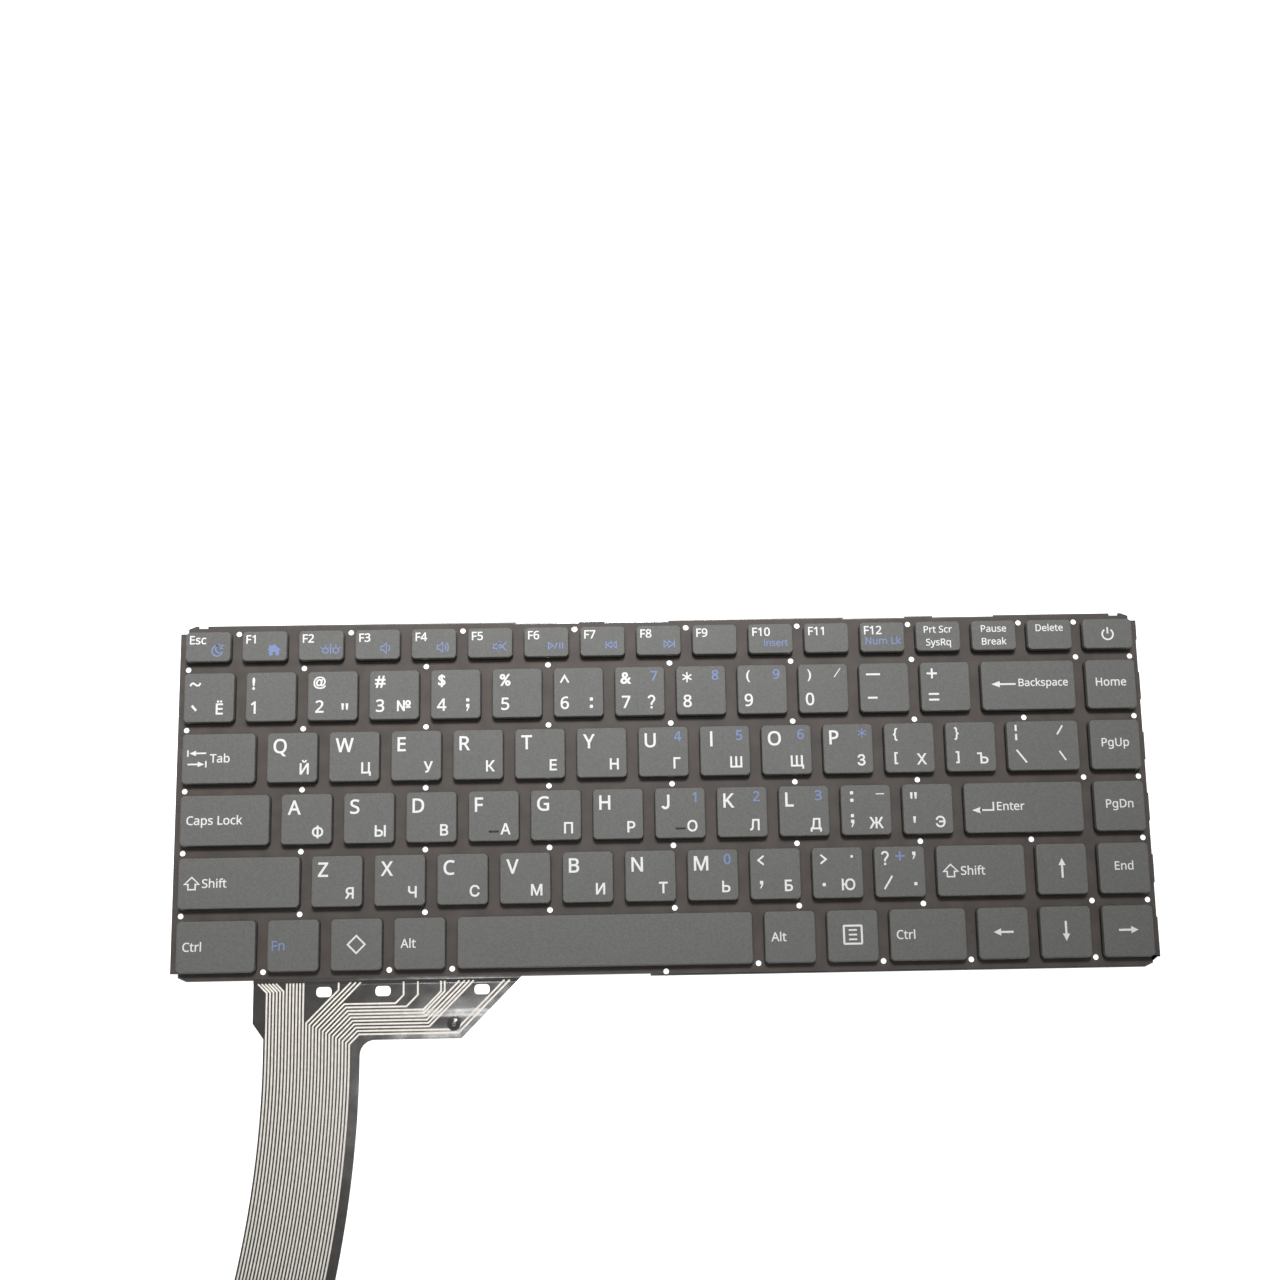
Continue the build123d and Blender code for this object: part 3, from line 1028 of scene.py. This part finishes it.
# Print on the keys
white, blue = 0, 1
ink_sink = 0.02
ink_height = 0.015
ink_bottom = cap_top - ink_sink
ink_top = cap_top + ink_height
text_steps = 5
text_weld = 1e-5
sign_bold = 0.035
text_cache = {}


def sans(text):
    """The same text in the sans-serif letters and digits of the same typeface."""
    shifts = {"A": 0x1D5A0, "a": 0x1D5BA, "0": 0x1D7E2}
    made = []
    for letter in text.replace("I", "l"):
        first = "0" if letter.isdigit() else "A" if letter.isupper() else "a"
        made.append(chr(shifts[first] + ord(letter) - ord(first)) if letter.isalnum() else letter)
    return "".join(made)


def text_outlines(text):
    """The closed outlines of a text of size one, at its own spacing."""
    curve = bpy.data.curves.new("text", "FONT")
    curve.body = text
    curve.fill_mode = "NONE"
    curve.resolution_u = text_steps
    made = evaluated_mesh(curve)
    joined = {tuple(sorted(edge.vertices)) for edge in made.edges}
    outlines = [[]]
    for vert in made.vertices:
        if outlines[-1] and (vert.index - 1, vert.index) not in joined:
            outlines.append([])
        outlines[-1].append(vert.co.to_2d())
    return outlines


def signed_area(outline):
    return sum(here.cross(after) for here, after in zip(outline, outline[1:] + outline[:1])) / 2


def capital_height(letter):
    return max(point.y for point in text_outlines(letter)[0])


plain_capital = capital_height("H")
sans_capital = capital_height(sans("H"))
second_capital = capital_height("Н")


def windings(point, outlines, reaches):
    """How often outlines wind round a point; a reach is an outline's lowest, highest and furthest right."""
    turns = 0
    for outline, (low, high, right) in zip(outlines, reaches):
        if point.y < low or point.y > high or point.x > right:
            continue
        for start, end in zip(outline, outline[1:] + outline[:1]):
            upward = start.y <= point.y < end.y
            downward = end.y <= point.y < start.y
            if not (upward or downward):
                continue
            share = (point.y - start.y) / (end.y - start.y)
            if start.x + share * (end.x - start.x) > point.x:
                turns += 1 if upward else -1
    return turns


def flat_text(text, bold, capital):
    """The points and triangles of a text with capitals one unit high and strokes widened on both sides."""
    outlines = [[point / capital for point in outline] for outline in text_outlines(text)]
    outlines = [outline for outline in outlines if len(outline) > 2]
    side = -1 if sum(signed_area(outline) for outline in outlines) > 0 else 1
    outlines = [beside(outline, side * bold, True) for outline in outlines]
    edges = []
    reaches = []
    for outline in outlines:
        first = len(edges)
        edges += [(first + number, first + (number + 1) % len(outline)) for number in range(len(outline))]
        heights = [point.y for point in outline]
        reaches.append((min(heights), max(heights), max(point.x for point in outline)))
    points = [point for outline in outlines for point in outline]
    points, _, faces, *_ = delaunay_2d_cdt(points, edges, [], 0, text_weld)
    middles = [sum((points[corner] for corner in face), Vector((0, 0))) / len(face) for face in faces]
    return points, [face for face, middle in zip(faces, middles) if windings(middle, outlines, reaches)]


def known_text(text, bold, capital):
    """A flat text, made once."""
    key = (text, bold)
    if key not in text_cache:
        text_cache[key] = flat_text(text, bold, capital)
    return text_cache[key]


def text_mesh(text, scale, bold, capital):
    """A flat text as a slab of ink, with capitals of a height in millimetres."""
    points, faces = known_text(text, bold, capital)
    letters = bmesh.new()
    corners = [letters.verts.new((point.x * scale, point.y * scale, 0)) for point in points]
    for face in faces:
        letters.faces.new([corners[corner] for corner in face])
    bmesh.ops.delete(letters, geom=[vert for vert in letters.verts if not vert.link_faces], context="VERTS")
    thicken(letters, ink_bottom, ink_top)
    return letters


def add_text(mesh, text, height, x, baseline, align, ink, bold, capital=sans_capital):
    """Text with capitals of a height; x is its left end, middle or right end."""
    letters = text_mesh(text, height, bold, capital)
    left = min(vert.co.x for vert in letters.verts)
    right = max(vert.co.x for vert in letters.verts)
    shift = {"left": x - left, "middle": x - (left + right) / 2, "right": x - right}[align]
    join(mesh, moved(letters, shift, baseline), ink)


def add_glyph(mesh, sign, height, x, y, ink, bold=sign_bold):
    """A sign of the plain kind, made as high as it should be and centred on a place."""
    points, faces = known_text(sign, bold, plain_capital)
    levels = [points[corner].y for face in faces for corner in face]
    sides = [points[corner].x for face in faces for corner in face]
    scale = height / (max(levels) - min(levels))
    middle = Vector((max(sides) + min(sides), max(levels) + min(levels))) * scale / 2
    letters = text_mesh(sign, scale, bold, plain_capital)
    join(mesh, moved(letters, x - middle.x, y - middle.y), ink)


# Drawings: strokes with their points, their width, or None for a filled one, and whether they are closed

def line(points, width):
    return (points, width, False)


def closed_line(points, width):
    return (points, width, True)


def fill(points):
    return (points, None, True)


def dot(x, y, size=1.0):
    return fill(rounded_rectangle((x, y), size, size, size / 4, 3))


def shifted(strokes, x, y):
    """Strokes moved by a distance."""
    made = []
    for points, width, closed in strokes:
        made.append(([(x + across, y + up) for across, up in points], width, closed))
    return made


def star(arms, reach, width, turn=90):
    """Straight arms of a width that cross in the middle."""
    half = pi / arms
    outline = []
    for arm in range(arms):
        angle = radians(turn) + 2 * half * arm
        way = Vector((cos(angle), sin(angle)))
        side = Vector((-way.y, way.x)) * width / 2
        notch = Vector((cos(angle + half), sin(angle + half))) * width / 2 / sin(half)
        outline += [way * reach - side, way * reach + side, notch]
    return fill(outline)


def arrow(tail, tip, shaft=0.65, head_length=2.2, head_width=2.2):
    """A straight arrow with a full head."""
    tail = Vector(tail)
    tip = Vector(tip)
    way = (tip - tail).normalized()
    side = Vector((-way.y, way.x)) / 2
    neck = tip - way * head_length
    right = [tail - side * shaft, neck - side * shaft, neck - side * head_width]
    left = [neck + side * head_width, neck + side * shaft, tail + side * shaft]
    return fill(right + [tip] + left)


def draw(mesh, strokes, x, y, ink):
    """Lays strokes down as ink about a place."""
    for points, width, closed in shifted(strokes, x, y):
        if width is None:
            prism(mesh, points, ink_bottom, ink_top, ink)
        else:
            ribbon(mesh, points, width, ink_bottom, ink_top, ink, closed)


# Punctuation that is drawn, each sign about its own centre
comma = fill([(-0.5, 1.15), (-0.5, 0.15), (0.0, 0.15), (-0.45, -1.0), (-0.15, -1.2),
              (0.5, 0.15), (0.5, 1.15)])
tick = fill([(-0.25, -1.0), (0.25, -1.0), (0.42, 1.0), (-0.42, 1.0)])
drawn_signs = {
    ".": [dot(0, -0.3)],
    ",": [comma],
    ":": [dot(0, 1.15), dot(0, -1.15)],
    ";": [dot(0, 1.5)] + shifted([comma], 0, -0.9),
    "'": [tick],
    '"': shifted([tick], -0.66, 0) + shifted([tick], 0.66, 0),
    "?": [line(arc((0, 1.0), 0.92, 170, -50, 10) + [(0, -0.45), (0, -0.95)], 0.58), dot(0, -1.75, 0.7)],
    "¦": [line([(0, 2.4), (0, 0.45)], 0.65), line([(0, -0.45), (0, -2.4)], 0.65)],
    "=": [line([(-1.6, 0.9), (1.6, 0.9)], 0.62), line([(-1.6, -0.9), (1.6, -0.9)], 0.62)],
    "~": [line([(-1.6, -0.45), (-1.1, 0.3), (-0.6, 0.42), (0.5, -0.35), (1.05, -0.3), (1.6, 0.45)], 0.55)],
    "`": [line([(-0.7, 0.8), (0.7, -0.8)], 0.7)],
    "^": [line([(-1.25, -1.15), (0, 1.0), (1.25, -1.15)], 0.55)],
    "_": [line([(-2.2, 0), (2.2, 0)], 0.6)],
    "-": [line([(-1.5, 0), (1.5, 0)], 0.6)],
    "/": [line([(-1.25, -2.0), (1.25, 2.0)], 0.55)],
    "\\": [line([(-1.5, 2.0), (1.5, -2.0)], 0.55)],
    "<": [line([(0.82, 1.35), (-0.82, 0), (0.82, -1.35)], 0.55)],
    ">": [line([(-0.82, 1.35), (0.82, 0), (-0.82, -1.35)], 0.55)],
    "+": [star(4, 1.6, 0.6)],
    "*": [star(6, 1.6, 0.45)],
    "thin /": [line([(-1.0, -1.4), (1.0, 1.4)], 0.28)],
    "thin -": [line([(-1.3, 0), (1.3, 0)], 0.3)],
    "thin *": [star(6, 1.4, 0.32)],
    "small +": [star(4, 1.42, 0.55)],
    "small .": [dot(0, 0, 0.75)],
    "small /": [line([(-0.9, -1.4), (0.9, 1.4)], 0.5)],
    "small \\": [line([(-0.95, 1.45), (0.95, -1.45)], 0.5)],
}

# Punctuation that is set in type, where its height isn't the usual one
sign_height = 3.75
sign_heights = {"@": 3.95, "#": 3.8, "$": 4.0, "!": 3.9, "{": 4.0, "}": 4.0, "№": 3.45}


def add_sign(mesh, sign, x, y, ink=white):
    """A sign centred on a place, drawn or set in type."""
    if sign in drawn_signs:
        draw(mesh, drawn_signs[sign], x, y, ink)
    else:
        add_glyph(mesh, sign, sign_heights.get(sign, sign_height), x, y, ink)


# Signs on the function row, each about its own centre

def ring():
    """A ring with three ticks over it."""
    low = -0.5
    ways = [(cos(radians(angle)), sin(radians(angle))) for angle in (35, 90, 145)]
    ticks = [line([(1.25 * x, 1.25 * y + low), (1.85 * x, 1.85 * y + low)], 0.34) for x, y in ways]
    return [closed_line(circle((0, low), 0.88, 14), 0.36)] + ticks


def speaker(waves):
    horn = [(-1.9, -0.6), (-1.2, -0.6), (-0.2, -1.6), (-0.2, 1.6), (-1.2, 0.6), (-1.9, 0.6)]
    sound = [line(arc((-0.4, 0), 1.2 + 0.75 * wave, -48, 48, 6), 0.34) for wave in range(waves)]
    return [closed_line(horn, 0.34)] + sound


def triangle(x, way):
    return closed_line([(x - 0.7 * way, -1.0), (x - 0.7 * way, 1.0), (x + 0.7 * way, 0)], 0.34)


def skip(way):
    """Two triangles that point one way, at a bar."""
    stop = line([(1.9 * way, -1.1), (1.9 * way, 1.1)], 0.38)
    return [triangle(-0.6 * way, way), triangle(0.9 * way, way), stop]


crescent = arc((-0.1, -0.1), 1.65, 75, 335, 16) + arc((0.75, 0.55), 1.35, 305, 110, 10)
house = [(0, 1.85), (2.2, -0.1), (1.55, -0.1), (1.55, -1.8), (0.45, -1.8), (0.45, -0.7),
         (-0.45, -0.7), (-0.45, -1.8), (-1.55, -1.8), (-1.55, -0.1), (-2.2, -0.1),
         (-1.6, 0.5), (-1.6, 1.5), (-0.9, 1.5), (-0.9, 1.1)]
function_signs = {
    "escape": [closed_line(crescent, 0.42), line([(0.8, 1.65), (1.7, 1.65), (0.8, 0.65), (1.7, 0.65)], 0.3)],
    "f1": [fill(house)],
    "f2": shifted(ring(), -1.62, 0) + [line([(0, -1.6), (0, 1.6)], 0.36)] + shifted(ring(), 1.62, 0),
    "f3": speaker(1),
    "f4": speaker(2),
    "f5": speaker(0) + shifted([star(4, 1.9, 0.36, turn=45)], 0.75, 0),
    "f6": [triangle(-1.6, 1), line([(-0.5, -1.0), (0.4, 1.0)], 0.34)]
    + [line([(x, -1.0), (x, 1.0)], 0.4) for x in (1.2, 2.1)],
    "f7": skip(-1),
    "f8": skip(1),
}

# Drawings placed from the middle of a cap's left edge
shift_half = [(0, 1.9), (2.2, -0.2), (1.1, -0.2), (1.1, -1.8)]
shift_arrow = closed_line(shift_half + [(-across, up) for across, up in shift_half[:0:-1]], 0.42)
left_drawings = {
    "j": [line(arc((3.1, 2.5), 0.95, 200, 360, 10) + [(4.05, 5.65)], 0.74)],
    "tab": [arrow((7.3, 1.7), (2.2, 1.7), 0.5, 2.0, 1.7), line([(1.7, 0.7), (1.7, 2.7)], 0.45),
            arrow((1.7, -1.7), (6.8, -1.7), 0.5, 2.0, 1.7), line([(7.3, -2.7), (7.3, -0.7)], 0.45)],
    "enter": [line([(8.8, 1.8), (8.8, -0.7), (4.6, -0.7)], 0.5),
              arrow((5.2, -0.7), (2.2, -0.7), 0.5, 2.5, 1.9)],
    "backspace": [arrow((10.6, 0.4), (3.0, 0.4), 0.55, 2.6, 2.0)],
    "left_shift": shifted([shift_arrow], 4.1, 0),
    "right_shift": shifted([shift_arrow], 4.1, 0),
}

# Drawings in the middle of a cap
middle_drawings = {
    "menu": [closed_line(rounded_rectangle((0, 0.3), 5.4, 5.4, 0.2, 2), 0.6)]
    + [line([(-1.25, up), (1.25, up)], 0.5) for up in (-1.1, 0.3, 1.7)],
    "system": [closed_line([(0, -2.6), (2.6, 0), (0, 2.6), (-2.6, 0)], 0.5)],
    "power": [line(arc((0, -0.2), 1.7, 125, 415, 20), 0.5), line([(0, 0), (0, 2.0)], 0.5)],
}
arrow_reach = 3.0
arrow_raise = 0.3
for name, way in {"left": (-1, 0), "right": (1, 0), "up": (0, 1), "down": (0, -1)}.items():
    tip = Vector(way) * arrow_reach
    middle_drawings[name] = shifted([arrow(-tip, tip)], 0, arrow_raise)

# Words: text, height of capitals, side, inset from that side, and the baseline's distance from the back
key_words = {
    "tab": [("Tab", 2.55, "left", 8.5, 8.85)],
    "enter": [("Enter", 2.5, "left", 9.9, 8.45)],
    "backspace": [("Backspace", 2.3, "left", 11.5, 7.95)],
    "left_shift": [("Shift", 2.55, "left", 7.2, 8.95)],
    "right_shift": [("Shift", 2.55, "left", 7.2, 8.95)],
    "print_screen": [("Prt Scr", 2.1, "middle", 0, 3.5), ("SysRq", 2.1, "middle", 0, 7.6)],
    "pause": [("Pause", 2.1, "middle", 0, 3.5), ("Break", 2.1, "middle", 0, 7.6)],
    "delete": [("Delete", 2.1, "middle", 0, 3.5)],
    "f10": [("Insert", 2.05, "right", 1.5, 6.95, blue)],
    "f12": [("Num Lk", 2.25, "left", 1.5, 6.95, blue)],
    "fn": [("Fn", 2.8, "left", 1.3, 9.0, blue)],
}
side_words = {"caps_lock": "Caps Lock", "left_ctrl": "Ctrl", "right_ctrl": "Ctrl",
              "left_alt": "Alt", "right_alt": "Alt"}
key_words.update({name: [(text, 2.6, "left", 1.9, 8.9)] for name, text in side_words.items()})
column_words = {"home": "Home", "page_up": "PgUp", "page_down": "PgDn", "end": "End"}
key_words.update({name: [(text, 2.5, "middle", 0, 8.2)] for name, text in column_words.items()})
function_labels = {name: name.upper() for name in function_names[1:13]}
function_labels["escape"] = "Esc"

# Letters and signs: what each key says
second_letters = dict(zip("qwertyuiopasdfghjklzxcvbnm", "ЙЦУКЕНГШЩЗФЫВАПРОЛДЯЧСМИТЬ"))
second_letters.update(backquote="Ё", left_bracket="Х", right_bracket="Ъ", semicolon="Ж", quote="Э",
                      comma="Б", period="Ю")
sign_names = number_names + ["left_bracket", "right_bracket", "backslash", "semicolon", "quote",
                             "comma", "period", "slash"]
upper_signs = dict(zip(sign_names, "~!@#$%^&*()_+{}¦:\"<>?"))
lower_signs = dict(zip(sign_names, "`1234567890-=[]\\;',./"))
third_signs = {"2": '"', "3": "№", "4": ";", "6": ":", "7": "?", "slash": "."}
keypad_digits = dict(zip("789uiojklm", "7894561230"))
keypad_signs = {"0": "thin /", "p": "thin *", "semicolon": "thin -", "period": "small .", "slash": ","}

# Heights of capitals, and how far their strokes are widened, as a share of the height
letter_height, letter_bold = 4.2, 0.024
digit_height, digit_bold = 3.7, 0.022
second_height, second_bold = 3.3, 0.028
keypad_height, keypad_bold = 2.95, 0.025
function_height, function_bold = 2.55, 0.025
word_bold = 0.018

# How far print stands down from a cap's back edge, or up from its front edge
letter_down = 6.2
upper_sign_down = 3.5
small_sign_down = 2.9
keypad_digit_down = 4.4
keypad_sign_down = 2.8
function_down = 3.7
digit_up = 2.45
lower_sign_up = 4.4
third_sign_up = 4.2
function_sign_up = 3.4
second_up = 2.4
home_second_up = 2.0

# How far print stands in from a cap's left or right edge; some keys have a distance of their own
letter_inset = 1.9
letter_insets = {"i": 3.1}
second_inset = 2.45
second_insets = {"backquote": 3.25}
sign_inset = 3.35
upper_insets = {"1": 2.3, "2": 3.7, "5": 3.95, "minus": 4.25, "equals": 3.6, "backslash": 2.8, "slash": 3.2}
lower_insets = {"1": 2.3, "2": 3.7, "5": 3.95, "minus": 3.85, "equals": 3.95, "backslash": 4.2, "slash": 3.95,
                "backquote": 3.1}
third_insets = {"2": 3.8, "3": 4.6, "4": 3.9, "6": 3.7, "7": 4.1, "slash": 3.0}
keypad_inset = 3.2
back_stroke_inset = 5.7
front_stroke_inset = 5.2
small_plus_inset = 7.8
function_inset = 1.2
function_sign_inset = 3.9


def cap_edges(name):
    """The left, right, back and front of a cap's top."""
    x, y, width, depth = keys[name]
    return x - width / 2, x + width / 2, y + depth / 2, y - depth / 2


def add_label(mesh, name, text, height, side, inset, down, ink=white, bold=word_bold):
    """Words on a key, in from one side and down from the back."""
    left, right, back, front = cap_edges(name)
    x = {"left": left + inset, "middle": (left + right) / 2 + inset, "right": right - inset}[side]
    add_text(mesh, sans(text), height, x, back - down, side, ink, bold)


def print_signs(mesh, name):
    """The signs at a key's left, one behind the other."""
    left, right, back, front = cap_edges(name)
    sign = lower_signs[name]
    x = left + lower_insets.get(name, sign_inset)
    add_sign(mesh, upper_signs[name], left + upper_insets.get(name, sign_inset), back - upper_sign_down)
    if sign.isdigit():
        add_text(mesh, sans(sign), digit_height, x, front + digit_up, "middle", white, digit_bold)
    else:
        add_sign(mesh, sign, x, front + lower_sign_up)
    if name == "backslash":
        add_sign(mesh, "small /", right - back_stroke_inset, back - small_sign_down)
        add_sign(mesh, "small \\", right - front_stroke_inset, front + lower_sign_up)
    if name == "slash":
        add_sign(mesh, "small +", left + small_plus_inset, back - small_sign_down, blue)


def print_keypad(mesh, name):
    """The keypad's digit or sign at a key's back right."""
    left, right, back, front = cap_edges(name)
    x = right - keypad_inset
    if name in keypad_digits:
        digit = sans(keypad_digits[name])
        add_text(mesh, digit, keypad_height, x, back - keypad_digit_down, "middle", blue, keypad_bold)
    if name in keypad_signs:
        add_sign(mesh, keypad_signs[name], x, back - keypad_sign_down, blue if name == "p" else white)


def print_key(mesh, name):
    """All the print on one key."""
    x, y, width, depth = keys[name]
    left, right, back, front = cap_edges(name)
    for words in key_words.get(name, []):
        add_label(mesh, name, *words)
    draw(mesh, left_drawings.get(name, []), left, y, white)
    draw(mesh, middle_drawings.get(name, []), x, y, white)
    draw(mesh, function_signs.get(name, []), right - function_sign_inset, front + function_sign_up, blue)
    if name in function_labels:
        place = (function_height, "left", function_inset, function_down)
        add_label(mesh, name, function_labels[name], *place, bold=function_bold)
    if len(name) == 1 and name.isalpha() and name not in left_drawings:
        inset = letter_insets.get(name, letter_inset)
        add_label(mesh, name, name.upper(), letter_height, "left", inset, letter_down, bold=letter_bold)
    if name in upper_signs:
        print_signs(mesh, name)
    if name in second_letters:
        letter = second_letters[name]
        place = right - second_insets.get(name, second_inset)
        baseline = front + (home_second_up if name in home_names else second_up)
        add_text(mesh, letter, second_height, place, baseline, "right", white, second_bold, second_capital)
    if name in third_signs:
        add_sign(mesh, third_signs[name], right - third_insets[name], front + third_sign_up)
    print_keypad(mesh, name)


def make_prints():
    for name in keys:
        mesh = bmesh.new()
        print_key(mesh, name)
        if not mesh.faces:
            mesh.free()
            continue
        bmesh.ops.recalc_face_normals(mesh, faces=mesh.faces[:])
        finish_piece(f"print_{name}", mesh, [white_ink, blue_ink], body_and_node(name)[0])


# Stage

def make_floor_sheet():
    mesh = bmesh.new()
    corners = [(x * floor_half, y * floor_half) for x, y in ((-1, -1), (1, -1), (1, 1), (-1, 1))]
    mesh.faces.new([mesh.verts.new(corner) for corner in at_height(corners, floor_level)])
    data = bpy.data.meshes.new("floor")
    mesh.to_mesh(data)
    mesh.free()
    data.transform(Matrix.Scale(millimetre, 4))
    data.materials.append(make_floor_paper())
    floor = bpy.data.objects.new("floor", data)
    bpy.context.scene.collection.objects.link(floor)


def make_light(name, place, aim, size, power, spread=180.0):
    """A soft light at a place in metres, turned to an aim, with a beam of a spread in degrees."""
    data = bpy.data.lights.new(name, "AREA")
    data.shape = "SQUARE"
    data.size = size
    data.energy = power
    data.spread = radians(spread)
    light = bpy.data.objects.new(name, data)
    light.location = place
    light.rotation_euler = (Vector(aim) - Vector(place)).to_track_quat("-Z", "Y").to_euler()
    bpy.context.scene.collection.objects.link(light)


def make_world():
    world = bpy.data.worlds.new("studio")
    world.use_nodes = True
    backdrop = world.node_tree.nodes["Background"]
    backdrop.inputs["Color"].default_value = (1, 1, 1, 1)
    level = seen_level(world.node_tree, world_light, 1.0)
    world.node_tree.links.new(level, backdrop.inputs["Strength"])
    bpy.context.scene.world = world


def make_camera():
    data = bpy.data.cameras.new("camera")
    data.sensor_width = camera_sensor
    data.lens = camera_lens
    camera = bpy.data.objects.new("camera", data)
    camera.location = Vector(camera_place) * millimetre
    camera.rotation_euler = [radians(angle) for angle in camera_turn]
    bpy.context.scene.collection.objects.link(camera)
    bpy.context.scene.camera = camera


make_prints()
make_plate()
make_films()
make_tail()
make_traces()
make_contacts()
make_adhesive()
make_stiffener_tab()
for key_name in keys:
    make_cap(key_name)
make_lifts()

make_floor_sheet()
make_light("overhead", (0.02, 0.4, 1.0), (-0.08, 0.36, 0.0), 0.25, 3.1, spread=66.0)
make_light("glint", (-0.11, -0.12, 0.65), (-0.05, -0.065, 0.0), 0.06, 0.5)
make_world()
make_camera()
bpy.context.scene.view_settings.view_transform = "Standard"
